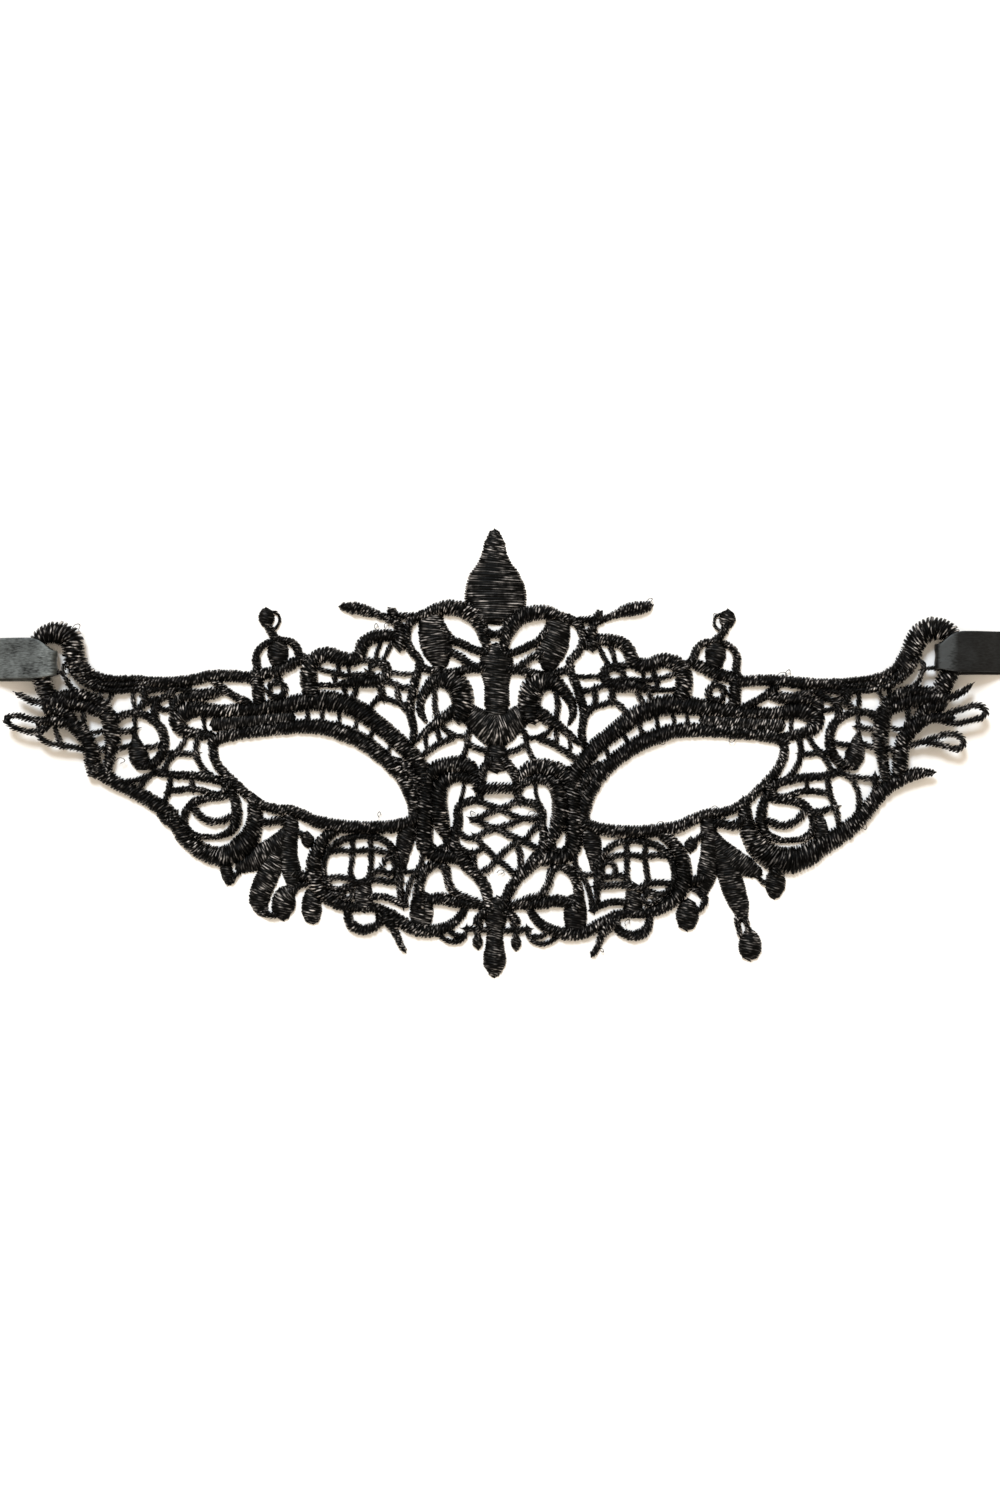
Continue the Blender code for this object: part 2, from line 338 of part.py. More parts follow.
# rows of one half only, in the same percents; the left ones are read on the mirrored side
RIGHT_ONLY = (
    # frayed leaf over the top edge
    Strand(CORD, (100, 87, 73, 50, 60, 93, 103, 80),
           ((19.6, 74.5), (19.5, 77), (20, 79.3), (21.7, 80.2), (24, 81.2), (26.5, 82.3), (29, 82.8),
            (31, 83.3))),
    # leaf cluster under the outer corner of the eye
    Strand(FILL, (58, 68, 70, 75, 85, 75, 40), ((43.4, 36), (43.5, 32.5), (43.7, 29), (43.5, 25.5),
                                               (43, 22.2), (42.4, 19.8), (41.9, 18))),
    Strand(FILL, (80, 95, 95, 92, 78, 45), ((46.2, 27.5), (47.2, 24.5), (48, 21.4), (49, 18), (50, 15),
                                           (50.3, 12.6))),
    Strand(BAR, (85,), ((49.2, 13.4), (49.5, 11), (49.9, 8.6))),
    Strand(BAR, (85,), ((50.8, 13.4), (51.3, 11), (52, 9))),
    Strand(FILL, (50, 84, 93, 90, 66), ((51.9, 9.6), (51.9, 7), (51.9, 4.1))),
    Strand(FILL, (58, 72, 88, 84, 44), ((44.3, 31), (46.3, 28.4), (49, 25.8), (51.5, 24.2), (53.8, 22.9))),
    Strand(BAR, (75,), ((53.2, 22.6), (54.5, 21), (55.8, 20.3))),
    Strand(FILL, (52, 76, 84, 76, 46), ((57.3, 23.6), (57.1, 20.8), (56.9, 17.8))),
    Strand(BAR, (190,), ((57.2, 25.4), (57.2, 22.8))),
    Strand(FILL, (26, 54, 54, 26), ((39.8, 30.7), (39.8, 29.3), (39.8, 27.9))),
    Strand(BAR, (100,), ((40.3, 30), (41.5, 31), (43, 31.9))),
    Strand(BAR, (150,), ((44.6, 34.2), (46.5, 34.2), (48.2, 33.6), (49.5, 34.2), (51, 35.6))),
    Strand(BAR, (100,), ((39.6, 20), (41.2, 19), (42.5, 17.9), (42.6, 16.4), (41.8, 15), (40.6, 14.2))),
    Strand(CORD, (80,), ((38.4, 20.6), (40.4, 21.2), (42.6, 21.8))),
    Strand(FILL, (66, 90, 92, 66), ((39.2, 16.2), (39.1, 13.6), (39, 10.9))),
    # outer crescent of the wing, ending in a free tip
    Strand(CORD, (93, 107, 140, 172, 187, 190, 173, 153, 140, 127, 120, 113, 113, 107, 93, 47),
           ((50.7, 38.8), (51.2, 34.5), (52.3, 30.8), (54.5, 28), (57.3, 26.2), (60.2, 25.8), (63, 26.8),
            (66, 28.8), (69, 30.8), (72, 33), (74.8, 35.9), (77, 39.2), (79.3, 42), (82.3, 44.2),
            (85.5, 45.5), (88.9, 45.7))),
    Strand(FILL, (27, 58, 68), ((65.6, 37.2), (66, 34.5), (66.6, 31.4))),
    Strand(BAR, (92,), ((67.7, 45.2), (67.9, 42.5), (68.3, 40.3), (69.2, 38), (69.7, 36), (70, 33.6))),
    Strand(BAR, (100,), ((64.6, 36.6), (67, 37.2), (69.6, 37.9))),
    Strand(BAR, (105,), ((77.4, 45), (77.2, 42.5), (76.9, 39.6))),
    Strand(BAR, (92,), ((70.2, 47), (70.4, 45.6), (72, 45), (73.5, 42.8), (74.1, 40), (73.9, 36.8))),
    Strand(BAR, (92,), ((72, 44.9), (74.8, 44.5), (78, 44.3))),
    # picots
    Strand(BAR, (140, 130, 115, 92), ((90.6, 62.5), (93, 62.9), (95, 64.1), (96.5, 65.3))),
    Strand(BAR, (100,), ((91.6, 59), (94.5, 60), (97.2, 60.9), (98.8, 60.4), (99.4, 59), (98.2, 57.9),
                         (96, 57.3), (93.5, 56.7), (91.2, 57.1))),
    Strand(BAR, (100,), ((83.4, 51.6), (86.5, 52.5), (89.5, 53.7), (92, 54.4), (94.2, 53.9), (95, 52.4),
                         (94.1, 51.1), (92, 51.4), (89.5, 52.3), (87, 52.4))),
)

LEFT_ONLY = (
    Strand(CORD, (100, 87, 73, 55, 60, 87, 93, 60),
           ((19.6, 74.5), (19.5, 77), (20, 79.3), (21.9, 80.4), (24.2, 81.4), (26.7, 82.3), (29.2, 82.9),
            (31.2, 83.2))),
    # the same cluster with its leaves bent inwards
    Strand(FILL, (58, 66, 70, 72, 80, 70, 40), ((41.9, 36), (42, 33), (42.3, 30), (42.4, 26.5), (41.7, 23),
                                               (41.3, 21), (41.6, 18.6))),
    Strand(FILL, (40, 82, 98, 92, 44), ((41.4, 19.6), (43, 17.7), (43.5, 15.3), (43.4, 12.8))),
    Strand(FILL, (72, 92, 92, 90, 84, 40), ((44.6, 29), (45.6, 25.5), (46.8, 22), (48, 19), (48.3, 16.3),
                                           (47.4, 13.6))),
    Strand(BAR, (108,), ((44.5, 13.6), (46.2, 13.4), (47.5, 14.2))),
    Strand(FILL, (58, 75, 92, 88, 50), ((42.8, 32), (44.8, 29.6), (47.6, 27.2), (50.2, 25.4), (52.6, 24.2))),
    Strand(BAR, (90,), ((52.2, 23.8), (53.3, 22.2), (54.3, 20.9))),
    Strand(FILL, (36, 50, 52, 38), ((55.6, 25.4), (55, 23.2), (54.4, 20.9))),
    Strand(FILL, (26, 54, 54, 26), ((38.6, 32), (38.5, 30.4), (38.4, 29))),
    Strand(BAR, (100,), ((39, 31.2), (40.3, 32.2), (41.8, 33))),
    Strand(BAR, (130,), ((43.2, 34.8), (45, 34.9), (46.6, 34.2), (48, 34.8), (49.4, 36.2))),
    Strand(CORD, (80,), ((37.2, 21.8), (39.2, 22.2), (41.4, 22.8))),
    Strand(BAR, (100,), ((38.4, 20.6), (40.4, 20), (41.6, 18.6))),
    Strand(FILL, (54, 80, 84, 58), ((37.6, 18.8), (37.7, 15.3), (37.5, 12.2))),
    # the wing's crescent is folded under and has no tip
    Strand(CORD, (100, 113, 147, 163, 153, 133, 120, 113, 113, 113, 107, 100, 100, 107, 107),
           ((49.4, 39.4), (49.3, 35), (50.2, 31.5), (52.3, 28.6), (55, 26.9), (58, 27), (61, 28.6),
            (63.6, 31), (65.3, 34), (67, 36.6), (69.5, 38.6), (73, 40.8), (76.5, 42.8), (79.5, 45),
            (82.2, 47.5))),
    Strand(CORD, (66, 87, 66), ((65.6, 36.4), (67, 35), (68.6, 36.6))),
    Strand(BAR, (92,), ((66.4, 45.4), (66.6, 43), (67, 41), (68, 38.6))),
    Strand(BAR, (92,), ((69.6, 45.8), (71, 44.6), (72.6, 42.6), (73.2, 40.6))),
    Strand(BAR, (85,), ((70.6, 45.2), (73.6, 44), (76.6, 43.6), (78.6, 44.6))),
    # picots
    Strand(BAR, (120, 110, 110, 92), ((91.4, 61.4), (94, 61.6), (96, 62.8), (97.2, 63.5))),
    Strand(BAR, (100,), ((91.4, 57), (95, 57.9), (97.6, 58.5), (99.4, 57.8), (98.6, 56.3), (96, 55.2),
                         (93.5, 54.9), (91, 55.8))),
    Strand(BAR, (100,), ((83.2, 50.8), (86.5, 51.5), (89.5, 52), (91.8, 52.9), (92.9, 54.4), (92.6, 56.2))),
    Strand(BAR, (92,), ((88.4, 51.8), (89.6, 55.8))),
)

# how far the left half stands from a mirror image of the right one:
# place on the mirrored side (x, y), then the shift there (x, y), all in the route percents
HALF_SHIFTS = (
    ((0, 90), (0, 0)),
    ((0, 60), (0, 0)),
    ((0, 15), (0, 0)),
    ((10, 81), (0.5, 1.2)),
    ((13, 75), (0.8, 0.3)),
    ((24, 75), (0.2, 1.0)),
    ((34, 71), (0, 1.4)),
    ((47, 75), (-0.3, 0.2)),
    ((47, 82), (-0.4, 0.4)),
    ((56, 66), (0, 1.1)),
    ((70, 65.5), (0, 0.5)),
    ((71.3, 54.7), (-0.3, -0.6)),
    ((58.9, 50), (-1.1, 0)),
    ((30, 55), (-1.0, 1.0)),
    ((18, 40), (-1.3, 0.8)),
    ((9, 36), (-1.6, 0.4)),
    ((4, 21), (-0.9, 0.3)),
    ((15, 22), (-1.1, 0.5)),
    ((30, 24), (-1.2, 1.2)),
    ((38, 24), (-1.2, 1.1)),
    ((27.6, 11.3), (-1.0, 1.4)),
    ((61, 42), (-1.6, 0.4)),
    ((58.7, 36.7), (-1.2, 0.9)),
    ((84, 71), (1.6, -1.0)),
    ((89, 79), (-0.2, -1.0)),
    ((93.5, 72), (0, -1.0)),
    ((91, 64), (0.6, -1.0)),
    ((82, 57), (-0.1, -0.8)),
    ((81, 45), (0, 0.8)),
)
SHIFT_REACH = 12.0          # distance, in route percents, over which one row fades into the next


def half_shift(x, y):
    """Shift of the left half at a place on the mirrored side, blended from the nearest rows."""
    total, shift_x, shift_y = 0.0, 0.0, 0.0
    for (row_x, row_y), (move_x, move_y) in HALF_SHIFTS:
        distance = math.hypot(x - row_x, y - row_y) / SHIFT_REACH
        weight = 1.0 / (0.02 + distance ** 3)
        total += weight
        shift_x += weight * move_x
        shift_y += weight * move_y
    return shift_x / total, shift_y / total


def place(x, y):
    """A route point in metres; Y is measured from the middle of the mask's height."""
    return Vector((x * PERCENT_X, y * PERCENT_Y - LACE_HEIGHT / 2))


def right_route(strand):
    return [place(x, y) for x, y in strand.route]


def left_route(strand):
    return [place(-x, y) for x, y in strand.route]


def shifted_left_route(strand):
    route = []
    for x, y in strand.route:
        move_x, move_y = half_shift(x, y)
        route.append(place(-(x + move_x), y + move_y))
    return route


def all_strands():
    """Every strand of the lace as (finish, widths, route in metres)."""
    rungs = tuple(Strand(BAR, (72,), ends) for ends in BROW_RUNGS)
    both = (UPPER_SCROLL + TOP_EDGE + TOP_RING + BROW + rungs + LOWER_RIM + SCROLL_HEAD + HEART
            + LOWER_EDGE + MEDALLION + WING_SCROLL + WING_RING + WING_TOP + END_BAND)
    strands = [(s.finish, s.widths, right_route(s)) for s in CENTRE + NOSE_NET + both + RIGHT_ONLY]
    strands += [(s.finish, s.widths, shifted_left_route(s)) for s in both]
    strands += [(s.finish, s.widths, left_route(s)) for s in LEFT_ONLY]
    return strands


def smooth_route(route):
    """Samples on a smooth curve through the route's points, closer where it turns."""
    closed = (route[0] - route[-1]).length < 1e-6
    count = len(route)
    samples = [route[0]]
    for index in range(count - 1):
        start, end = route[index], route[index + 1]
        before = route[index - 1] if index else (route[-2] if closed else start * 2 - end)
        after = route[index + 2] if index + 2 < count else (route[1] if closed else end * 2 - start)
        leave, arrive = (end - before) / 2, (after - start) / 2
        length = (end - start).length
        turn = leave.angle(arrive, 0.0)
        steps = max(1, math.ceil(length / SAMPLE_STEP - 0.2), math.ceil(turn / SHARPEST_TURN))
        for step in range(1, steps + 1):
            t = step / steps
            samples.append(start * (2 * t ** 3 - 3 * t ** 2 + 1) + leave * (t ** 3 - 2 * t ** 2 + t)
                           + end * (3 * t ** 2 - 2 * t ** 3) + arrive * (t ** 3 - t ** 2))
    return samples, closed


def sample_widths(samples, widths, usual):
    """Width at each sample, from stations spread evenly along the strand."""
    along = [0.0]
    for a, b in zip(samples, samples[1:]):
        along.append(along[-1] + (b - a).length)
    stations = np.linspace(0.0, along[-1], len(widths)) if len(widths) > 1 else [0.0]
    return [usual * w / 100 for w in np.interp(along, stations, widths)]


def directions(samples, closed):
    """Unit direction of travel at each sample."""
    last = len(samples) - 1
    result = []
    for index in range(last + 1):
        before = samples[index - 1] if index else (samples[last - 1] if closed else samples[0])
        after = samples[index + 1] if index < last else (samples[1] if closed else samples[last])
        result.append((after - before).normalized())
    return result


def strand_faces(finish, samples, widths, closed):
    """Outline pieces of one strand: a quad for each stretch and a round cap at each open end."""
    faces = []
    ways = directions(samples, closed)
    sides = []
    for point, way, width in zip(samples, ways, widths):
        across = Vector((-way.y, way.x)) * width / 2
        sides.append((point + across, point - across))
    for index in range(len(samples) - 1):
        way = samples[index + 1] - samples[index]
        (left, right), (next_left, next_right) = sides[index], sides[index + 1]
        if (next_left - left).dot(way) <= 0:
            next_left = left
        if (next_right - right).dot(way) <= 0:
            next_right = right
        corners = [right, next_right, next_left, left]
        faces.append([c for i, c in enumerate(corners) if (c - corners[i - 1]).length > 1e-7])
    if not closed and finish != FILL:
        for point, way, width in ((samples[0], -ways[0], widths[0]), (samples[-1], ways[-1], widths[-1])):
            across = Vector((-way.y, way.x))
            cap = []
            for step in range(CAP_POINTS + 2):
                angle = math.pi * step / (CAP_POINTS + 1)
                cap.append(point - across * (math.cos(angle) * width / 2) + way * (math.sin(angle) * width / 2))
            faces.append(cap)
    return [face for face in faces if len(face) > 2]


def merged_outline(strands):
    """Boundary loops of all strands together, and the crown lines of the padded cords."""
    points, faces, crowns = [], [], []
    for finish, widths, route in strands:
        samples, closed = smooth_route(route)
        across = sample_widths(samples, widths, NOMINAL_WIDTH[finish])
        for face in strand_faces(finish, samples, across, closed):
            faces.append(list(range(len(points), len(points) + len(face))))
            points.extend(face)
        if finish == CORD and len(samples) > 3:
            crowns.append((samples, across))
    verts, _, triangles, _, _, sources = delaunay_2d_cdt(points, [], faces, 0, 1e-7, True)
    covered = [tri for tri, source in zip(triangles, sources) if source]
    return verts, covered, crowns


def boundary_loops(verts, triangles):
    """Closed loops of point numbers along the edge of a set of triangles, material on their left."""
    edges = {}
    for triangle in triangles:
        for index, start in enumerate(triangle):
            edges[(start, triangle[(index + 1) % 3])] = True
    follow = {}
    for start, end in edges:
        if (end, start) not in edges:
            follow.setdefault(start, []).append(end)
    loops = []
    while follow:
        first = next(iter(follow))
        loop, here, came = [first], first, None
        while True:
            choices = follow[here]
            if came is not None and len(choices) > 1:
                back = verts[came] - verts[here]
                choices.sort(key=lambda there: (verts[there] - verts[here]).angle_signed(back) % math.tau)
            there = choices.pop(0)
            if not choices:
                del follow[here]
            came, here = here, there
            if here == first:
                break
            loop.append(here)
        loops.append(loop)
    return loops


def loop_area(points):
    return sum(a.x * b.y - b.x * a.y for a, b in zip(points, points[1:] + points[:1])) / 2


def simplified(points):
    """The closed loop with the points left out that lie within the outline tolerance."""
    def keep(low, high):
        start, end = points[low], points[high % len(points)]
        way = end - start
        worst, where = OUTLINE_TOLERANCE, None
        for index in range(low + 1, high):
            offset = points[index] - start
            if way.length > 1e-9:
                along = max(0.0, min(1.0, offset.dot(way) / way.length_squared))
                distance = (offset - way * along).length
            else:
                distance = offset.length
            if distance > worst:
                worst, where = distance, index
        if where is None:
            return [low]
        return keep(low, where) + keep(where, high)

    far = max(range(len(points)), key=lambda index: (points[index] - points[0]).length)
    return [points[index] for index in keep(0, far) + keep(far, len(points))]


def inside_test(loops):
    """A function that says which of many points lie inside the loops, counted by crossings."""
    start = np.array([p for loop in loops for p in loop])
    end = np.array([p for loop in loops for p in loop[1:] + loop[:1]])

    def inside(points):
        result = np.zeros(len(points), dtype=bool)
        for (x0, y0), (x1, y1) in zip(start, end):
            if y0 == y1:
                continue
            crosses = (points[:, 1] >= y0) != (points[:, 1] >= y1)
            result ^= crosses & (points[:, 0] < x0 + (points[:, 1] - y0) * (x1 - x0) / (y1 - y0))
        return result
    return inside


def crown_height(width):
    """Thickness of the lace on the middle of a cord of this width."""
    share = min(1.0, width / CORD_WIDTH)
    return EDGE_THICKNESS + (PAD_THICKNESS - EDGE_THICKNESS) * share


def lift(x):
    """Height of the lace's underside above the floor: flat in the middle, raised at the wing ends."""
    share = (abs(x) / HALF_WIDTH - LIFT_START) / (1 - LIFT_START)
    share = max(0.0, min(1.0, share))
    return END_LIFT * share * share * (3 - 2 * share)


def open_pinches(verts, inside, outside):
    """Fill the smallest outer triangle at each point where the outline touches itself."""
    inside, outside = list(inside), list(outside)
    while True:
        count = {}
        edges = {(t[i], t[(i + 1) % 3]) for t in inside for i in range(3)}
        for start, end in edges:
            if (end, start) not in edges:
                count[start] = count.get(start, 0) + 1
        pinched = {point for point, number in count.items() if number > 1}
        if not pinched:
            return inside
        for point in pinched:
            around = [t for t in outside if point in t]
            if around:
                smallest = min(around, key=lambda t: abs(loop_area([verts[i] for i in t])))
                outside.remove(smallest)
                inside.append(smallest)


def lace_mesh():
    """The lace as one closed mesh: flat underside, raised crowns, gaps cut through."""
    verts, covered, crowns = merged_outline(all_strands())
    loops = [[verts[i] for i in loop] for loop in boundary_loops(verts, covered)]
    loops = [simplified(loop) for loop in loops]
    loops = [loop for loop in loops if len(loop) > 2 and abs(loop_area(loop)) > SMALLEST_GAP]
    inside = inside_test(loops)

    points, edges = [], []
    for loop in loops:
        first = len(points)
        points.extend(loop)
        edges.extend((first + i, first + (i + 1) % len(loop)) for i in range(len(loop)))
    heights = []
    for samples, widths in crowns:
        kept = [(p, w) for p, w in zip(samples[1:-1], widths[1:-1]) if w > 1.2 * BAR_WIDTH]
        for (point, width) in kept:
            heights.append((point, crown_height(width)))
        first = len(points)
        points.extend(point for point, _ in kept)
        edges.extend((first + i, first + i + 1) for i in range(len(kept) - 1))

    flat, _, triangles, _, _, _ = delaunay_2d_cdt(points, edges, [], 0, 1e-6, True)
    middles = np.array([sum((flat[i] for i in t), Vector((0, 0))) / 3 for t in triangles])
    mask = inside(middles)
    material = [t for t, m in zip(triangles, mask) if m]
    gaps = [t for t, m in zip(triangles, mask) if not m]
    material = open_pinches(flat, material, gaps)

    directed = {(t[i], t[(i + 1) % 3]) for t in material for i in range(3)}
    rim = {start for start, end in directed if (end, start) not in directed}
    rim |= {end for start, end in directed if (end, start) not in directed}
    crown_points = np.array([point for point, _ in heights])
    crown_tops = [height for _, height in heights]

    builder = bmesh.new()
    corners = {}
    tops = {}
    for index in {i for t in material for i in t}:
        x, y = flat[index]
        thickness = EDGE_THICKNESS
        if index not in rim:
            distance = np.hypot(crown_points[:, 0] - x, crown_points[:, 1] - y)
            nearest = int(distance.argmin())
            if distance[nearest] < SAMPLE_STEP / 2:
                thickness = crown_tops[nearest]
        corners[index] = builder.verts.new((x, y, lift(x)))
        tops[(round(x, 9), round(y, 9))] = lift(x) + thickness
    faces = [builder.faces.new([corners[i] for i in t]) for t in material]
    raised = bmesh.ops.extrude_face_region(builder, geom=faces, use_keep_orig=True)["geom"]
    for vert in raised:
        if isinstance(vert, bmesh.types.BMVert):
            vert.co.z = tops[(round(vert.co.x, 9), round(vert.co.y, 9))]
    bmesh.ops.recalc_face_normals(builder, faces=builder.faces)
    mesh = bpy.data.meshes.new("lace_panel")
    builder.to_mesh(mesh)
    builder.free()
    return mesh, len(loops) - 1


def ribbon_path(side):
    """Side view of a ribbon's middle: free end, under the end cord, round its fold and back over it."""
    fold_x = 89.4 * PERCENT_X
    cord_x = 95.6 * PERCENT_X
    end_x = HALF_WIDTH + RIBBON_REACH
    low = RIBBON_WALL / 2
    high_cord = lift(cord_x) + PAD_THICKNESS + RIBBON_CLEARANCE + RIBBON_WALL / 2
    high_end = low + RIBBON_WALL + 2 * RIBBON_CLEARANCE
    middle, radius = (high_cord + low) / 2, (high_cord - low) / 2
    path = [(end_x, low), (cord_x, low), (92 * PERCENT_X, low), (fold_x + radius, low)]
    for step in range(1, 6):
        angle = math.pi * step / 6
        path.append((fold_x + radius - radius * math.sin(angle), middle - radius * math.cos(angle)))
    path.append((fold_x + radius, high_cord))
    path.append((92 * PERCENT_X, high_cord))
    path.append((cord_x, high_cord))
    for step in range(1, 9):
        share = step / 8
        x = cord_x + (end_x - cord_x) * share
        path.append((x, high_cord + (high_end - high_cord) * share * share * (3 - 2 * share)))
    return [(side * x, z) for x, z in path]


def new_object(name, mesh, colour, roughness, collection):
    thing = bpy.data.objects.new(name, mesh)
    finish = bpy.data.materials.new(name + "_finish")
    finish.use_nodes = True
    shader = finish.node_tree.nodes["Principled BSDF"]
    shader.inputs["Base Color"].default_value = (*colour, 1.0)
    shader.inputs["Roughness"].default_value = roughness
    shader.inputs["Metallic"].default_value = 0.0
    mesh.materials.append(finish)
    collection.objects.link(thing)
    return thing


def build_ribbon(name, side, centre_y, collection):
    """One folded ribbon: an open strip given its wall by Solidify."""
    path = ribbon_path(side)
    waist_x, full_x = 92 * PERCENT_X, 96 * PERCENT_X
    rows = []
    for index, (x, z) in enumerate(path):
        skew = RIBBON_FOLD_BACK * max(0.0, 1 - 2 * index / (len(path) - 1))
        share = max(0.0, min(1.0, (abs(x) - waist_x) / (full_x - waist_x)))
        half = (RIBBON_WAIST + (RIBBON_WIDTH - RIBBON_WAIST) * share) / 2
        rows.append([(x, centre_y - skew * share + end * half, z) for end in (-1, 1)])
    builder = bmesh.new()
    strip = [[builder.verts.new(corner) for corner in row] for row in rows]
    for row, following in zip(strip, strip[1:]):
        builder.faces.new((row[0], row[1], following[1], following[0]))
    bmesh.ops.recalc_face_normals(builder, faces=builder.faces)
    mesh = bpy.data.meshes.new(name)
    builder.to_mesh(mesh)
    builder.free()
    ribbon = new_object(name, mesh, (0.035, 0.042, 0.046), 0.34, collection)
    wall = ribbon.modifiers.new("wall", "SOLIDIFY")
    wall.thickness = RIBBON_WALL
    wall.offset = 0.0
    wall.use_even_offset = True
    return ribbon


def build_mask():
    for thing in list(bpy.data.objects):
        bpy.data.objects.remove(thing, do_unlink=True)
    collection = bpy.data.collections.new("lace_mask")
    bpy.context.scene.collection.children.link(collection)
    mesh, gaps = lace_mesh()
    new_object("lace_panel", mesh, (0.012, 0.011, 0.012), 0.5, collection)
    print("lace triangles", sum(len(p.vertices) - 2 for p in mesh.polygons), "gaps", gaps)
    _, right_y = place(0, 72.8)
    _, left_y = place(0, 71.8)
    build_ribbon("ribbon_right", 1, right_y, collection)
    build_ribbon("ribbon_left", -1, left_y, collection)


build_mask()
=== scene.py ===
# %% [markdown]
# # A black lace half mask
# The real mask is machine embroidery: cords, bars and leaves of black thread are stitched on a
# ground that is washed away, so that only the stitches are left. A satin ribbon is folded through
# the loop at each end. Here every strand is drawn as a route with widths, and one modelled stitch
# is repeated along it.

# %% Frame
import math
import random
from collections import namedtuple

import bmesh
import bpy
from mathutils import Matrix, Vector


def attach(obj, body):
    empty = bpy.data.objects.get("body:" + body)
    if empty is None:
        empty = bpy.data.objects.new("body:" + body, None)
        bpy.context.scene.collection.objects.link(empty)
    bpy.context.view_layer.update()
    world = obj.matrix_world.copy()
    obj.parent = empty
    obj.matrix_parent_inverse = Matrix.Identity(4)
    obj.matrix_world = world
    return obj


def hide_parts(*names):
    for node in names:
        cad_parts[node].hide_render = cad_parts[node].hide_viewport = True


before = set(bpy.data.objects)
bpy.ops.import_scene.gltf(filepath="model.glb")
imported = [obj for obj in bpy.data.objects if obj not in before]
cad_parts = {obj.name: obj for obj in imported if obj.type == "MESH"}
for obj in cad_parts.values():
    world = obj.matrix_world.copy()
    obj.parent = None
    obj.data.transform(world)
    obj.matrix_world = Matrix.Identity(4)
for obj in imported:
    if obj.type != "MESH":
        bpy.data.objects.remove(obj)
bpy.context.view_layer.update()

# %% [markdown]
# ## Sizes
# Widths in the tables are percents of the usual width of that kind of strand. Places are percents
# of half the mask's width from its centre line, and of its height up from the tail's tip.

# %% Named sizes
LACE_WIDTH, LACE_HEIGHT = 0.240, 0.1085
CORD_WIDTH, BAR_WIDTH, FILL_WIDTH = 0.0030, 0.0012, 0.0060
END_LIFT = 0.0034
LIFT_START = 0.66
HALF_WIDTH = LACE_WIDTH / 2
PERCENT_X, PERCENT_Y = HALF_WIDTH / 100, LACE_HEIGHT / 100
RING_POINTS = 8

CORD, BAR, FILL = "cord", "bar", "fill"
NOMINAL_WIDTH = {CORD: CORD_WIDTH, BAR: BAR_WIDTH, FILL: FILL_WIDTH}
Strand = namedtuple("Strand", "finish widths route")


def strand_of(finish):
    """A short way to write one kind of strand: its width or widths, then the points of its route."""
    def write(widths, *route):
        return Strand(finish, widths if isinstance(widths, tuple) else (widths,), route)
    return write


cord, bar, fill = strand_of(CORD), strand_of(BAR), strand_of(FILL)


def ring(finish, width, centre, radii):
    """A closed round strand; centre and radii in the same percents as a route."""
    points = []
    for step in range(RING_POINTS + 1):
        angle = 2 * math.pi * step / RING_POINTS
        points.append((centre[0] + radii[0] * math.cos(angle), centre[1] + radii[1] * math.sin(angle)))
    return Strand(finish, (width,), tuple(points))


print("lace, mm:", LACE_WIDTH * 1000, "by", LACE_HEIGHT * 1000)

# %% [markdown]
# ## Crest, stem, heart band and tail
# The middle of the mask is one upright row of satin filled shapes: the crest with an eyelet under
# it, a stem, a broad band like a heart, a knot, and the tail.

# %% Crest, stem, heart band and tail
CENTRE = (
    # crest, eyelet, stem, heart band, knot and the bar between the scroll heads
    fill((42, 82, 98, 127, 190, 223, 242, 243, 233), (-0.3, 100), (-0.3, 90), (0, 82)),
    ring(CORD, 63, (-0.2, 79.6), (2.5, 2.75)),
    fill((92, 133, 137, 117, 100, 100, 103), (0.1, 73.8), (0.1, 67), (0.2, 61)),
    fill((68, 80, 98, 125, 148, 125, 98, 80, 68), (-7.8, 61.4), (-6.2, 59.6), (-4.4, 58), (-2.2, 56.4),
        (0, 55.4), (2.2, 56.4), (4.4, 58), (6.2, 59.6), (8, 61.2)),
    fill((72, 96, 98, 84), (0.1, 51.6), (0.1, 49.4), (0.1, 46.7)),
    bar(170, (-3.8, 42.2), (0.3, 42.2), (4.4, 42.2)),
    # tail
    fill((83, 107, 90, 70, 67, 76, 92, 90, 42), (0.2, 16.6), (-0.2, 10), (-0.3, 5), (-0.3, 0)),
)
print("rows:", len(CENTRE))

# %% [markdown]
# ## Net over the nose
# Thin braided bars cross each other between the two scroll heads.

# %% Net over the nose
NOSE_NET = (
    bar(100, (-4.6, 34.9), (-2, 36.3), (0, 37.3), (2, 38), (4.4, 39.3)),
    bar(100, (-4.6, 39.8), (-1.5, 38.4), (1.5, 37.2), (4, 35.8), (6.5, 35.2), (8.8, 35.6)),
    bar(105, (-5, 35.4), (-2, 33.9), (0, 33), (2.5, 31.8), (5, 30.5), (7, 29.4), (9, 28.4)),
    bar(100, (-8.6, 33), (-6, 31), (-4, 31.2), (-2, 32.4), (0, 33.1), (2.5, 33.9), (5.5, 35.3)),
    bar(100, (-4.4, 31.5), (-2.3, 28.8), (0, 26.4), (2, 24.6), (3.9, 22.6)),
    bar(100, (0.2, 26.2), (2.2, 28.4), (4.2, 29.8), (6.2, 30.8), (7.3, 32.5), (8.8, 34.2)),
    bar(100, (-3.3, 22.9), (-1.3, 24.3), (0.3, 26)),
    bar(100, (-7.8, 29), (-5, 27.4), (-2.6, 28.8)),
    bar(100, (4, 29.8), (4.9, 27.5), (5, 25), (4.4, 23)),
    bar(100, (-4.7, 27.4), (-4.6, 25.4), (-4.2, 24)),
)
print("rows:", len(NOSE_NET))

# %% [markdown]
# ## Scroll beside the stem
# An arch of cord springs from the eyelet, turns down the inner edge and meets a broad hooked
# scroll.

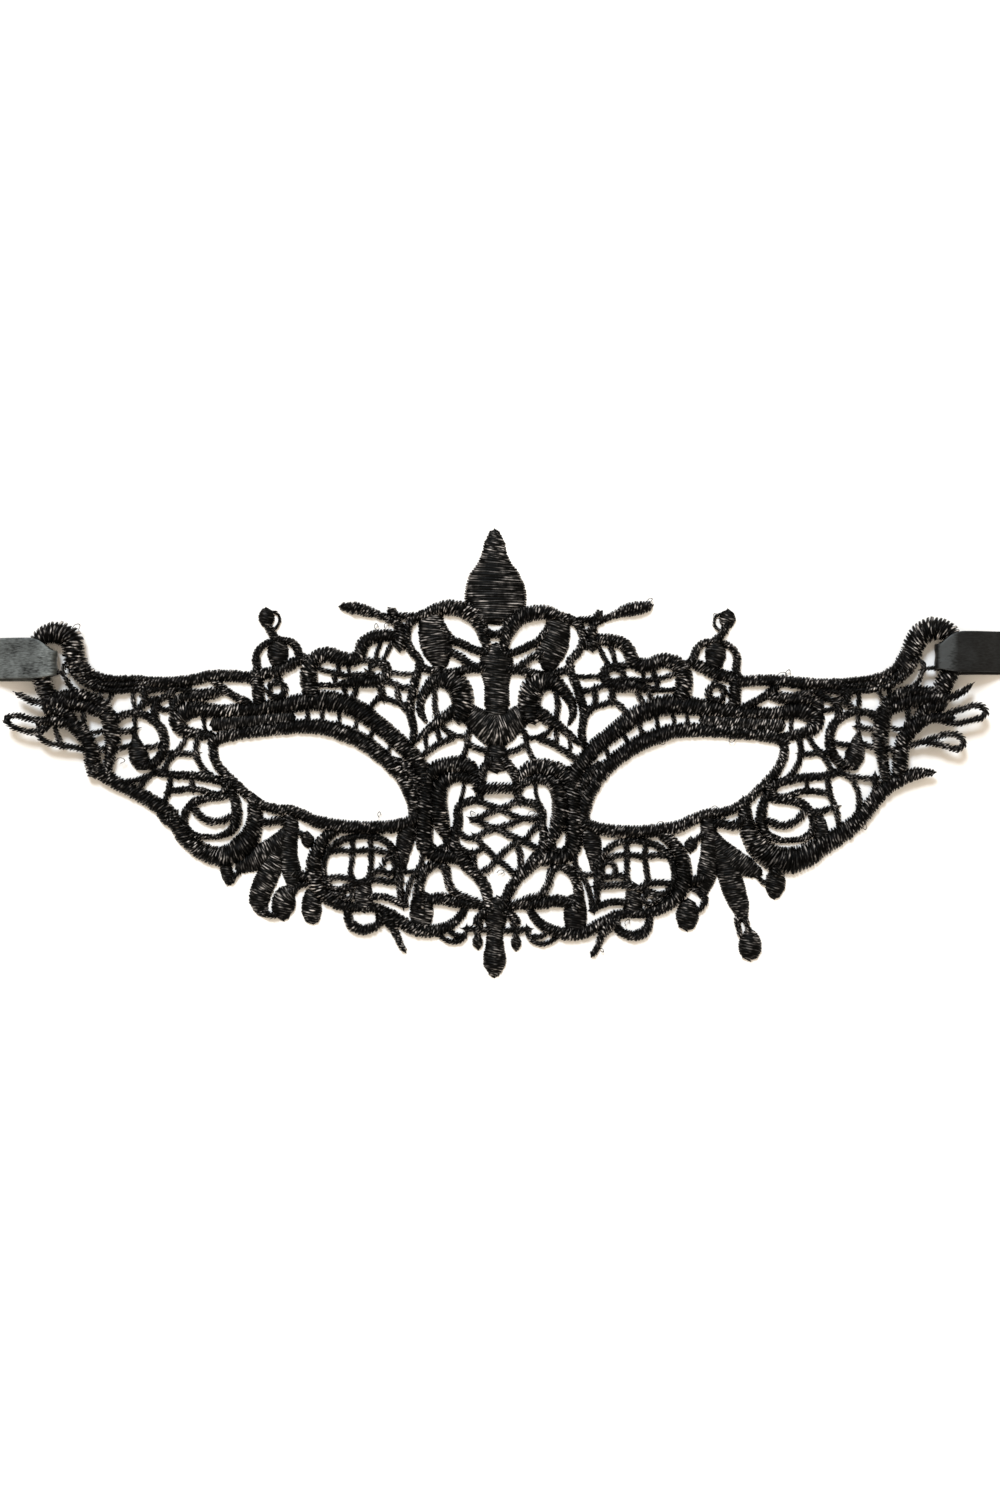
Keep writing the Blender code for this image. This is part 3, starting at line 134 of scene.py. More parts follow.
# %% Scroll beside the stem
UPPER_SCROLL = (
    # leg of the eyelet, arch and down the inner edge to the brow
    cord((67, 80, 100, 115, 117, 113, 93, 70, 60), (1.35, 73), (2.1, 76), (3.3, 79), (5.5, 81), (8, 81.8),
        (10.5, 81.8), (12.8, 81), (14.8, 80.2), (16.8, 79.4)),
    cord((60, 66, 64, 64, 60, 64, 67, 66, 64, 60, 55), (14.6, 80.8), (16.3, 79.6), (17.5, 77.8),
        (17.8, 75.7), (17.3, 73.8), (16.2, 72.2), (15.0, 70.6), (15.3, 68.3), (16.3, 66), (17, 63.3),
        (17.8, 60.5), (17.9, 57.8), (17.5, 55), (17.8, 52)),
    cord(66, (1.6, 80.9), (3.2, 81.6), (5, 82.2)),
    bar(110, (16.6, 80.4), (18, 80.2), (19.6, 80.4)),
    fill((92, 108, 127, 118, 62), (12.8, 80.6), (12.4, 77.5), (11.6, 74.5), (11, 72), (10.8, 69.4)),
    cord((60, 60, 66, 60), (1.5, 72.2), (4.4, 73.1), (6.6, 74.3), (8.6, 75.3), (10.5, 78)),
    bar(120, (3.4, 68.9), (5.6, 70.1), (6.8, 71.4), (8.6, 72.2), (10, 72.4)),
    cord((72, 70, 60, 55, 62), (2.4, 69), (5, 68.8), (7.5, 68.1), (10, 67.9), (12.5, 68.2), (15, 69.2)),
    # satin scroll beside the stem, its hooked tip and the cord below it
    cord((153, 158, 172, 168, 140, 113, 87, 67, 60, 36), (7.3, 58.6), (6.9, 60.5), (6.9, 62.8), (7.7, 65),
        (9.8, 66.3), (12, 65.9), (14, 63.9), (15.5, 61.3), (15.7, 58.8), (14.9, 56.7)),
    cord((100, 87, 60, 40), (8.6, 59.3), (11.3, 57.3), (14, 55.2), (17.2, 52.2)),
    bar(92, (12.4, 64.8), (12.5, 62.5), (12.6, 60.3), (12.3, 58.3), (11.6, 57)),
    bar(66, (15.3, 62.1), (17.2, 62.3)),
    # net between the heart band, the knot and the brow
    bar(100, (1.6, 50), (4.3, 50.9), (6, 52), (6.2, 53.6), (5.5, 55.4)),
    bar(78, (6, 53.6), (8, 53.6), (10, 54.4), (11.5, 55.8)),
    bar(108, (8.7, 53.4), (11.3, 52.3), (13.7, 50.8), (16.5, 48.6)),
    bar(85, (12.2, 55), (12.4, 53.4), (11.8, 52.2)),
    bar(66, (14.8, 54.8), (15.1, 52.8), (15.2, 51), (14.9, 49.9)),
    bar(92, (6.2, 52.2), (7, 50), (7.8, 48.2)),
)
print("rows:", len(UPPER_SCROLL))

# %% [markdown]
# ## Humps along the top
# Two rounded humps of cord close the top over a small curl and a net of bars.

# %% Humps along the top
TOP_EDGE = (
    # two humps
    cord((80, 87, 90, 95, 100, 100, 107, 110, 110, 112, 115, 127, 127, 127), (18.6, 74.5), (20.3, 75.6),
        (22.5, 75.7), (24.8, 75.3), (26.6, 74.2), (27.4, 72.5), (28, 70.8), (29.6, 69.9), (31.8, 70.1),
        (34, 71), (36, 70.7), (37.6, 69.4), (38.4, 67.4), (38.4, 65.3), (38, 62.8)),
    cord(73, (20.5, 80.5), (21.1, 81.3)),
    bar(75, (20.8, 74.5), (21.8, 72.3), (23, 70)),
    bar(75, (23.2, 74.5), (24.1, 72), (24.5, 69.9)),
    bar(92, (22.6, 69.6), (24.5, 70), (26.2, 70), (27.8, 69.8)),
    # curl and the cord that leaves it
    ring(BAR, 105, (24.2, 67.8), (1.8, 1.5)),
    cord((47, 60, 75, 92, 97, 94, 67, 42, 37, 37), (22.6, 69.8), (21.9, 68.3), (22.2, 66.8), (23.5, 65.6),
        (25.5, 65.2), (27.5, 65.3), (29.5, 65), (31.3, 64.6), (34, 64.3), (36.8, 64.4)),
    bar(82, (25.6, 66.8), (28, 66.8), (30.5, 66.5), (32.5, 66.8), (34.5, 67.2), (36.8, 68.2)),
    bar(75, (32.3, 69.4), (32.3, 66.8)),
    bar(66, (30.1, 68.8), (30.1, 66.8)),
    bar(75, (33, 67), (33, 64.4)),
    bar(85, (28.4, 64.8), (29.2, 63), (30, 61.2)),
    bar(85, (31.3, 64.8), (31.4, 62.4)),
    # net between the inner cord and the brow
    bar(75, (15.9, 67.5), (19, 67.3), (22, 67.6)),
    bar(100, (16.9, 64.1), (19, 64.2), (20.4, 64.7), (22, 65.4), (23.6, 65.2)),
    bar(92, (20.2, 64.7), (20.3, 62.8), (20, 61), (19.2, 59.6), (18.2, 58.5)),
    bar(92, (18.5, 60.1), (20.5, 60.6), (22.3, 61.3), (24.3, 61.6), (25.6, 60.6), (26.8, 59)),
    bar(125, (23.9, 65.2), (23.7, 63.3), (23.6, 61.5)),
)
print("rows:", len(TOP_EDGE))

# %% [markdown]
# ## Ring with a bobble
# A ring stands on the top edge, with a filled tongue inside it and a bobble on a stalk.

# %% Ring with a bobble
TOP_RING = (
    cord((55, 66, 60, 53, 47, 47, 53, 60, 62, 66), (38.3, 69.3), (40.2, 71), (40.9, 73.2), (42.3, 74.9),
        (44.6, 75.3), (46.8, 74.8), (48.6, 73.4), (49.3, 71.2), (49, 69), (49.4, 66.6)),
    fill((60, 84, 84, 68), (44.6, 75.3), (44.9, 72.8), (44.6, 70)),
    cord((73, 87, 93, 87, 80), (39.4, 70.6), (41.5, 69.8), (44, 68.5), (46.5, 67.6), (49.5, 66.9)),
    cord(93, (49.3, 67.2), (48.9, 65), (48.7, 61.4)),
    ring(BAR, 108, (45, 63.7), (1.65, 1.75)),
    bar(85, (44.2, 65.3), (44.9, 66.6), (46, 68)),
    cord(60, (44.9, 75.4), (46.2, 77), (47.1, 79)),
    fill((44, 62, 66, 60, 42), (47.4, 81.9), (47.3, 80.3), (47.2, 78.7)),
    bar(50, (46.6, 77.4), (45.2, 78.1), (44.5, 79.8), (45.1, 81.2), (46.4, 81.6)),
)
print("rows:", len(TOP_RING))

# %% [markdown]
# ## Brow and upper eye rim
# The two thickest cords run side by side over the eye and meet at its outer corner.

# %% Brow and upper eye rim
BROW = (
    cord((73, 80, 120, 140, 118, 93, 96, 104, 112, 125, 140, 152, 147, 137, 127, 124, 124, 127, 133, 133,
        133, 133, 120), (59.2, 53.9), (61.7, 54.3), (64.5, 55.4), (65.5, 57.3), (64.4, 59), (61.8, 59.8),
        (59, 59.2), (55, 59.0), (50, 59.4), (45, 60), (40, 60.7), (36, 61), (32.5, 60.4), (29, 58.8),
        (26, 56.5), (23, 53.9), (20.3, 51.3), (17.8, 48.3), (16.2, 45), (15.6, 41.5), (15.7, 38),
        (16, 34.5), (16, 31.5), (15.8, 28.6)),
    cord((87, 93, 90, 93, 97, 103, 110, 117, 123, 120, 113, 110, 107, 107, 100, 87), (58.8, 52.8),
        (57, 53.6), (54, 54.2), (50, 54.6), (45, 55.1), (40, 55.4), (36, 55), (32, 53.6), (28.5, 51.9),
        (25.5, 49.6), (22.8, 47), (20.6, 44.2), (19, 41), (18.1, 38), (17.8, 35.5), (18.4, 33.6)),
    cord((55, 70, 72, 60), (17.4, 40), (18.5, 43.2), (19.9, 45.8), (21, 47.5)),
    fill(58, (42.3, 57.5), (46, 57.3), (50, 57), (54, 56.7), (58.4, 56.4)),
)
print("rows:", len(BROW))

# %% [markdown]
# ## Rungs of the brow
# Short bars hold the two brow cords apart like a ladder's rungs. Each row is an upper end and a
# lower end.

# %% Rungs of the brow
BROW_RUNGS = (
    ((22.0, 52.0), (23.4, 48.6)),
    ((25.4, 55.6), (26.9, 52.4)),
    ((28.9, 57.8), (29.9, 54.4)),
    ((32.7, 59.4), (33.1, 55.4)),
    ((36.2, 59.8), (36.4, 56.0)),
    ((39.1, 59.6), (39.1, 56.0)),
    ((60.3, 58.8), (60.3, 54.4)),
)
print("rows:", len(BROW_RUNGS))

# %% [markdown]
# ## Lower eye rim
# One even cord closes the eye from below.

# %% Lower eye rim
LOWER_RIM = (
    cord((87, 93, 93, 93, 97, 97, 93, 87, 80, 73, 73, 70, 70, 70, 70, 70, 70), (17.6, 34.8), (19.8, 33.4),
        (23, 32.6), (27, 32.3), (31, 32.3), (35, 32.9), (38, 33.8), (40.5, 35.1), (43, 36.3), (46, 36.7),
        (49, 37.7), (52, 40), (55, 43.2), (57.5, 46.3), (58.7, 49), (58.9, 51.5), (58.7, 53.4)),
)
print("rows:", len(LOWER_RIM))

# %% [markdown]
# ## Scroll head beside the nose
# Two cords curl over into a snail's head where the brow comes down.

# %% Scroll head beside the nose
SCROLL_HEAD = (
    cord((80, 112, 127, 127, 127, 125), (4.8, 44.6), (6.5, 46.4), (9, 47), (11.5, 46.5), (14, 45.4),
        (15.8, 43)),
    cord((53, 73, 80, 93, 115, 132, 140, 130, 97, 66, 47, 47), (4.6, 41), (5.2, 43), (7.2, 44), (9.8, 44.2),
        (12, 43), (13.1, 40.5), (13.3, 37.5), (12.9, 34.5), (11.9, 32), (11.2, 30), (11.8, 28.2),
        (13.6, 28), (14.9, 29.6)),
    cord((80, 74, 70, 60, 53, 53), (1.4, 48.4), (2.6, 47.2), (3.7, 45.6), (4.2, 43.4), (4.4, 41),
        (4.8, 38.8)),
    cord((53, 60, 66, 66, 66), (4.5, 40.4), (5.6, 39.1), (7.5, 38.7), (9.1, 37.5), (9.4, 35.4), (9.2, 33.4)),
    bar(66, (8, 43.6), (8.1, 41.3), (8.9, 38.8)),
)
print("rows:", len(SCROLL_HEAD))

# %% [markdown]
# ## Sides of the heart and the lower arch
# Cords run from the scroll head down to the tail, with an arch beside them.

# %% Sides of the heart and the lower arch
HEART = (
    cord((66, 66, 73, 90, 104, 95, 83, 83, 80, 80), (9.4, 36.4), (9.2, 34.3), (9.9, 31.8), (9.7, 29),
        (8.6, 26.5), (6.6, 24.2), (4.6, 22), (3, 19.6), (1.9, 17), (1.1, 14.4)),
    cord((100, 107, 104, 87, 87), (7.8, 26), (10.5, 26.2), (13, 26.3), (15.2, 27.4), (16, 29.5)),
    cord((50, 60, 78, 73, 73, 87, 107), (10.9, 23.2), (12.2, 24.2), (14, 24.3), (15.7, 22.8), (16.6, 20.5),
        (16.9, 18), (16.6, 15.4)),
    bar(125, (12.2, 24.2), (11.2, 22.8), (10.8, 21), (10.2, 19.3), (9, 18), (6.8, 17.2), (4.3, 16.2),
        (2.2, 15.4)),
    cord((47, 60, 80, 87, 93, 80), (1.6, 15.2), (4.5, 15.6), (7.5, 16), (10, 16.2), (12.3, 16.8),
        (14.8, 16.2)),
)
print("rows:", len(HEART))

# %% [markdown]
# ## Scallops of the lower edge
# The lower edge is a wavy cord with small picots, drops and a pointed end.

# %% Scallops of the lower edge
LOWER_EDGE = (
    # scallops under the mask and round the outside of the medallion
    cord((53, 66, 73, 87, 100, 100, 93, 87, 80, 73, 73, 80, 93, 107, 118, 122, 118, 107, 93, 80),
        (6.3, 15.9), (7.6, 13.4), (9.3, 11.4), (11.5, 10), (14, 9.3), (16.5, 9.3), (19, 10), (21.2, 11.4),
        (23.6, 12.9), (26, 13.8), (28.5, 13.9), (31, 14), (33.5, 14.9), (35.8, 16.6), (37.5, 18.8),
        (38.3, 21.5), (38.3, 24.5), (37.4, 27.5), (36, 29.9), (33.8, 31.8)),
    fill((70, 92, 95, 80), (16.3, 17.4), (16.2, 14), (16.3, 10.4)),
    cord(53, (19.6, 14.8), (22, 15.9), (24, 16.5), (27, 16.3)),
    cord((80, 66, 73, 80, 80, 63, 53), (24.4, 12), (24.8, 10.4), (26.4, 9.2), (28.5, 8.8), (30.3, 9.7),
        (31.2, 11.5), (31.4, 14)),
    cord((100, 87, 60, 50, 47), (23.6, 11.8), (22.1, 9.8), (21.3, 7.8), (20.6, 6), (19.8, 4.6)),
    bar(105, (1.2, 10), (4, 10.1), (6.6, 10.3)),
    bar(100, (4.1, 10.3), (4.1, 8)),
    fill((22, 42, 40, 20), (4.1, 8.7), (4.1, 7.2), (4.1, 5.7)),
    cord((66, 73, 60), (2, 14.4), (3.3, 13.1), (4.3, 12.1)),
    bar(120, (3.6, 12.6), (3.7, 10)),
    bar(80, (6.4, 10.6), (6.8, 8.4), (8.3, 7.2), (10.4, 7.1), (12.4, 8.4)),
    bar(85, (7.3, 8.6), (8.9, 8.6), (10.4, 9.6)),
    # between the arch and the medallion
    bar(85, (16, 27.4), (16.3, 25), (17.1, 23.2), (18.2, 21.3), (18.9, 19.3), (19.4, 17.2), (19.8, 14.6)),
    bar(85, (16.8, 22.9), (18.5, 22.7), (20.6, 23)),
    bar(108, (20.2, 26), (20.5, 22.5), (20.7, 20), (20.6, 17.5), (20.2, 14.8)),
    fill((66, 75, 58, 40), (19.2, 32.6), (19.8, 29), (20.2, 26), (20.4, 23.6)),
    bar(115, (20.4, 20.1), (23.5, 20.2), (25.5, 20.4), (27.8, 20)),
)
print("rows:", len(LOWER_EDGE))

# %% [markdown]
# ## Medallion under the eye
# Bars and small rings fill a round frame.

# %% Medallion under the eye
MEDALLION = (
    cord(53, (35.3, 19), (36.3, 21), (36.5, 23.5), (36, 25.6), (34.9, 27.5), (33, 29.1), (30.5, 30),
        (27.5, 30.3), (24.8, 29.8), (22.6, 28.2), (21.4, 25.8), (21.1, 23.4), (21.5, 20.4)),
    bar(100, (22.8, 26.4), (25, 27), (27.5, 27.1), (30, 26.7), (32.5, 27), (35, 26.9)),
    bar(92, (26.7, 30.2), (26.7, 27), (26.7, 24.5), (26.9, 22), (27.4, 19.6)),
    bar(92, (30.5, 29.8), (30.5, 26.6), (30.7, 23.8), (31, 21.6), (30.2, 19.9)),
    bar(100, (27.2, 19.8), (29, 19.5), (30.5, 20.3), (33, 20.9), (36, 20.6)),
    bar(85, (29.6, 19.4), (31.6, 18.8), (33.4, 18.2), (35.6, 18.9)),
    ring(BAR, 96, (31.4, 17.2), (1.25, 1.35)),
    bar(110, (32.4, 17), (34, 16.8), (35.6, 17.4)),
    ring(BAR, 92, (23, 23.7), (1.35, 1.8)),
    bar(100, (24.1, 22.4), (25.5, 22.4), (27, 21.6)),
    fill((50, 68, 76, 76), (28.1, 20), (28.1, 17), (28, 13.8)),
)
print("rows:", len(MEDALLION))

# %% [markdown]
# ## Scroll of the wing
# Two hooks of cord face each other inside the wing's crescent.

# %% Scroll of the wing
WING_SCROLL = (
    cord((60, 73, 80, 80, 66, 47, 43, 47, 64, 66, 66, 66, 62, 60, 53), (55.7, 41.4), (54.7, 39),
        (54.2, 36.5), (54.3, 34), (55.3, 31.8), (57.5, 30.6), (60, 30.4), (62.7, 30.8), (64.6, 32.4),
        (65, 34.5), (64.4, 36.6), (62.7, 38.6), (60, 39.3), (57, 39.6), (55.3, 40.4)),
    bar(120, (55.2, 35), (57.5, 33.9), (59.7, 33.9), (61.8, 35.3), (63.4, 37.6)),
    cord((66, 66, 70, 66, 60, 60, 50), (56.2, 41.6), (57.5, 43.3), (60, 44), (63, 44.6), (66, 44.8),
        (68.5, 45.2), (70.5, 46.3)),
    cord((66, 50, 47, 47, 50, 47), (55.6, 42.6), (57.6, 40.3), (60, 40.6), (62, 41.3), (64.5, 41.5),
        (68.2, 41)),
    bar(78, (63.5, 44.8), (63.5, 41.2)),
    bar(100, (61.6, 54.2), (62.3, 51.5), (62.3, 49.3), (61.4, 47), (60.3, 45.3), (59, 43.8)),
    bar(92, (62.2, 50), (64, 49.8), (66, 50.1), (67.6, 48.3), (68.6, 46.2), (69.8, 45.2)),
    bar(85, (63.6, 54.2), (65, 51.8), (66.3, 50.3), (68.6, 50.4)),
)
print("rows:", len(WING_SCROLL))

# %% [markdown]
# ## Ring of the wing
# A ring of cord holds a comma of satin stitch, beside two upright cords.

# %% Ring of the wing
WING_RING = (
    cord((66, 73, 73, 70, 73, 66, 62, 60, 62, 73), (72.6, 47.3), (71, 47.5), (69.6, 48.7), (68.5, 50.7),
        (68.1, 53.3), (68.7, 56), (70.3, 58), (72.8, 59.2), (75.5, 59.3), (78.2, 58.2)),
    fill((20, 62, 82, 66), (74, 54.6), (73.7, 52), (73.3, 49.7), (72.4, 47.2)),
    bar(85, (68.8, 52.6), (70.5, 52), (72.2, 52)),
    bar(75, (73.9, 59.3), (73.9, 56.5), (74, 54)),
    bar(100, (73.8, 56), (75.5, 55.6), (77.6, 55.6)),
    bar(92, (74.8, 52.3), (76.2, 51.6), (78, 51.3)),
    cord((100, 120, 127, 115, 87, 80, 80), (79.8, 61.2), (79, 58.5), (78.5, 55.5), (78.4, 52.5),
        (78.8, 49.5), (79.1, 46.8), (79.8, 44)),
    cord((106, 113, 113, 120, 120, 107), (86.8, 57.6), (84.6, 55.6), (83.1, 53), (82.5, 50), (82.3, 47.5),
        (82, 45.2)),
    bar(110, (79.6, 51.3), (81.4, 50.6)),
    bar(85, (78, 57), (81, 55.6), (83.6, 55.4), (84.8, 56.6)),
    bar(85, (83.9, 60.4), (84, 58), (84.2, 56.2)),
)
print("rows:", len(WING_RING))

# %% [markdown]
# ## Top of the wing
# A cord runs along the top with a net under it, and cords fan out at the end.

# %% Top of the wing
WING_TOP = (
    # along the top from the ring to the wing end
    cord((80, 87, 87, 87, 87, 87, 87), (49.2, 66.1), (52, 66.4), (55, 66.5), (58.5, 66.4), (62, 65.9),
        (66, 65.6), (70, 65.6)),
    cord(60, (50.8, 60.6), (53.3, 61.9), (55, 63), (56.3, 64.2), (57.8, 65.6)),
    cord((66, 80, 84, 80, 66), (56.2, 63), (58.5, 62.4), (61.5, 62.2), (64, 62.1), (65.8, 61), (66.2, 59)),
    bar(100, (57.6, 63.3), (60, 63), (63, 63.6), (65.3, 64.3), (68, 64.2), (70.5, 63.7), (73.2, 64)),
    bar(70, (62.7, 65.2), (62.7, 63.4)),
    bar(115, (65.8, 63.6), (67.8, 62.4), (69.3, 61.5), (70, 60.2), (69.7, 58)),
    bar(85, (67.6, 62.6), (66.2, 61.4), (66.6, 60), (68.4, 59.9), (69.6, 61)),
    bar(108, (69.3, 62.1), (71.5, 61.4), (73, 60.3), (74.2, 59.3)),
    bar(133, (71.5, 61.6), (71.8, 63), (71.6, 64.4)),
    bar(75, (74, 64.2), (74.1, 61.8), (73.7, 59.6)),
    bar(75, (77.8, 64.2), (79, 62.2), (79.8, 60.6)),
    bar(75, (80.2, 65), (80.2, 63), (80.6, 61.4)),
    # cords that fan out at the wing end
    cord((93, 100, 113, 120, 127), (78, 58.6), (81, 60.4), (84, 61.7), (87, 62.2), (90.4, 62.4)),
    cord((87, 93, 100, 93, 87), (80, 61.6), (82.3, 63.3), (85, 64), (87.5, 63.8), (90, 63.6)),
    cord((87, 93, 87, 73), (84, 56.2), (86.5, 57.6), (89.5, 58.1), (92.4, 58)),
    cord((87, 100, 100), (86.2, 58.4), (87.4, 60), (90.4, 60.8)),
    bar(75, (84.4, 64.4), (85.9, 66.3), (86.5, 67.7), (87.1, 69.3), (86.6, 70.8)),
    bar(75, (86.8, 69), (88.2, 69.2), (90.6, 69)),
)
print("rows:", len(WING_TOP))

# %% [markdown]
# ## End loop
# Three rows of cord run along the wing's top and go on as one broad band round the loop that
# holds the ribbon. The one route here is for both.

# %% End loop
END_BAND = (
    cord((80, 97, 130, 140, 147, 153, 153, 155, 165, 160, 138, 114, 107, 120, 133, 137, 133), (66, 65.5),
        (70, 65.4), (74, 65.4), (78, 66), (81, 67.3), (83.2, 69.6), (84.4, 72.1), (85.1, 74.4),
        (86.3, 76.5), (88, 77.8), (90, 78.1), (92.3, 77.1), (93.7, 74.6), (93.7, 71.8), (92.8, 69),
        (91.6, 66.8), (90.7, 64.6), (90, 62)),
)
print("rows:", len(END_BAND))

# %% [markdown]
# ## Pieces of the right half alone
# The leaf, the leaf cluster, the crescent with its free tip and the picots differ from side to
# side.

# %% Pieces of the right half alone
RIGHT_ONLY = (
    # frayed leaf over the top edge
    cord((100, 87, 73, 50, 60, 93, 103, 80), (19.6, 74.5), (19.5, 77), (20, 79.3), (21.7, 80.2), (24, 81.2),
        (26.5, 82.3), (29, 82.8), (31, 83.3)),
    # leaf cluster under the outer corner of the eye
    fill((58, 68, 70, 75, 85, 75, 40), (43.4, 36), (43.5, 32.5), (43.7, 29), (43.5, 25.5), (43, 22.2),
        (42.4, 19.8), (41.9, 18)),
    fill((80, 95, 95, 92, 78, 45), (46.2, 27.5), (47.2, 24.5), (48, 21.4), (49, 18), (50, 15), (50.3, 12.6)),
    bar(85, (49.2, 13.4), (49.5, 11), (49.9, 8.6)),
    bar(85, (50.8, 13.4), (51.3, 11), (52, 9)),
    fill((50, 84, 93, 90, 66), (51.9, 9.6), (51.9, 7), (51.9, 4.1)),
    fill((58, 72, 88, 84, 44), (44.3, 31), (46.3, 28.4), (49, 25.8), (51.5, 24.2), (53.8, 22.9)),
    bar(75, (53.2, 22.6), (54.5, 21), (55.8, 20.3)),
    fill((52, 76, 84, 76, 46), (57.3, 23.6), (57.1, 20.8), (56.9, 17.8)),
    bar(190, (57.2, 25.4), (57.2, 22.8)),
    fill((26, 54, 54, 26), (39.8, 30.7), (39.8, 29.3), (39.8, 27.9)),
    bar(100, (40.3, 30), (41.5, 31), (43, 31.9)),
    bar(150, (44.6, 34.2), (46.5, 34.2), (48.2, 33.6), (49.5, 34.2), (51, 35.6)),
    bar(100, (39.6, 20), (41.2, 19), (42.5, 17.9), (42.6, 16.4), (41.8, 15), (40.6, 14.2)),
    cord(80, (38.4, 20.6), (40.4, 21.2), (42.6, 21.8)),
    fill((66, 90, 92, 66), (39.2, 16.2), (39.1, 13.6), (39, 10.9)),
    # outer crescent of the wing, ending in a free tip
    cord((93, 107, 140, 172, 187, 190, 173, 153, 140, 127, 120, 113, 113, 107, 93, 47), (50.7, 38.8),
        (51.2, 34.5), (52.3, 30.8), (54.5, 28), (57.3, 26.2), (60.2, 25.8), (63, 26.8), (66, 28.8),
        (69, 30.8), (72, 33), (74.8, 35.9), (77, 39.2), (79.3, 42), (82.3, 44.2), (85.5, 45.5),
        (88.9, 45.7)),
    fill((27, 58, 68), (65.6, 37.2), (66, 34.5), (66.6, 31.4)),
    bar(92, (67.7, 45.2), (67.9, 42.5), (68.3, 40.3), (69.2, 38), (69.7, 36), (70, 33.6)),
    bar(100, (64.6, 36.6), (67, 37.2), (69.6, 37.9)),
    bar(105, (77.4, 45), (77.2, 42.5), (76.9, 39.6)),
    bar(92, (70.2, 47), (70.4, 45.6), (72, 45), (73.5, 42.8), (74.1, 40), (73.9, 36.8)),
    bar(92, (72, 44.9), (74.8, 44.5), (78, 44.3)),
    # picots
    bar((140, 130, 115, 92), (90.6, 62.5), (93, 62.9), (95, 64.1), (96.5, 65.3)),
    bar(100, (91.6, 59), (94.5, 60), (97.2, 60.9), (98.8, 60.4), (99.4, 59), (98.2, 57.9), (96, 57.3),
        (93.5, 56.7), (91.2, 57.1)),
    bar(100, (83.4, 51.6), (86.5, 52.5), (89.5, 53.7), (92, 54.4), (94.2, 53.9), (95, 52.4), (94.1, 51.1),
        (92, 51.4), (89.5, 52.3), (87, 52.4)),
)
print("rows:", len(RIGHT_ONLY))

# %% [markdown]
# ## Pieces of the left half alone
# The same pieces on the left, where the leaves bend inwards and the crescent is folded under.

# %% Pieces of the left half alone
LEFT_ONLY = (
    cord((100, 87, 73, 55, 60, 87, 93, 60), (19.6, 74.5), (19.5, 77), (20, 79.3), (21.9, 80.4),
        (24.2, 81.4), (26.7, 82.3), (29.2, 82.9), (31.2, 83.2)),
    # the same cluster with its leaves bent inwards
    fill((58, 66, 70, 72, 80, 70, 40), (41.9, 36), (42, 33), (42.3, 30), (42.4, 26.5), (41.7, 23),
        (41.3, 21), (41.6, 18.6)),
    fill((40, 82, 98, 92, 44), (41.4, 19.6), (43, 17.7), (43.5, 15.3), (43.4, 12.8)),
    fill((72, 92, 92, 90, 84, 40), (44.6, 29), (45.6, 25.5), (46.8, 22), (48, 19), (48.3, 16.3),
        (47.4, 13.6)),
    bar(108, (44.5, 13.6), (46.2, 13.4), (47.5, 14.2)),
    fill((58, 75, 92, 88, 50), (42.8, 32), (44.8, 29.6), (47.6, 27.2), (50.2, 25.4), (52.6, 24.2)),
    bar(90, (52.2, 23.8), (53.3, 22.2), (54.3, 20.9)),
    fill((36, 50, 52, 38), (55.6, 25.4), (55, 23.2), (54.4, 20.9)),
    fill((26, 54, 54, 26), (38.6, 32), (38.5, 30.4), (38.4, 29)),
    bar(100, (39, 31.2), (40.3, 32.2), (41.8, 33)),
    bar(130, (43.2, 34.8), (45, 34.9), (46.6, 34.2), (48, 34.8), (49.4, 36.2)),
    cord(80, (37.2, 21.8), (39.2, 22.2), (41.4, 22.8)),
    bar(100, (38.4, 20.6), (40.4, 20), (41.6, 18.6)),
    fill((54, 80, 84, 58), (37.6, 18.8), (37.7, 15.3), (37.5, 12.2)),
    # the wing's crescent is folded under and has no tip
    cord((100, 113, 147, 163, 153, 133, 120, 113, 113, 113, 107, 100, 100, 107, 107), (49.4, 39.4),
        (49.3, 35), (50.2, 31.5), (52.3, 28.6), (55, 26.9), (58, 27), (61, 28.6), (63.6, 31), (65.3, 34),
        (67, 36.6), (69.5, 38.6), (73, 40.8), (76.5, 42.8), (79.5, 45), (82.2, 47.5)),
    cord((66, 87, 66), (65.6, 36.4), (67, 35), (68.6, 36.6)),
    bar(92, (66.4, 45.4), (66.6, 43), (67, 41), (68, 38.6)),
    bar(92, (69.6, 45.8), (71, 44.6), (72.6, 42.6), (73.2, 40.6)),
    bar(85, (70.6, 45.2), (73.6, 44), (76.6, 43.6), (78.6, 44.6)),
    # picots
    bar((120, 110, 110, 92), (91.4, 61.4), (94, 61.6), (96, 62.8), (97.2, 63.5)),
    bar(100, (91.4, 57), (95, 57.9), (97.6, 58.5), (99.4, 57.8), (98.6, 56.3), (96, 55.2), (93.5, 54.9),
        (91, 55.8)),
    bar(100, (83.2, 50.8), (86.5, 51.5), (89.5, 52), (91.8, 52.9), (92.9, 54.4), (92.6, 56.2)),
    bar(92, (88.4, 51.8), (89.6, 55.8)),
)
print("rows:", len(LEFT_ONLY))

# %% [markdown]
# ## How the left half is moved
# Each row is a place on the mirrored side and how far the left half stands from it there.

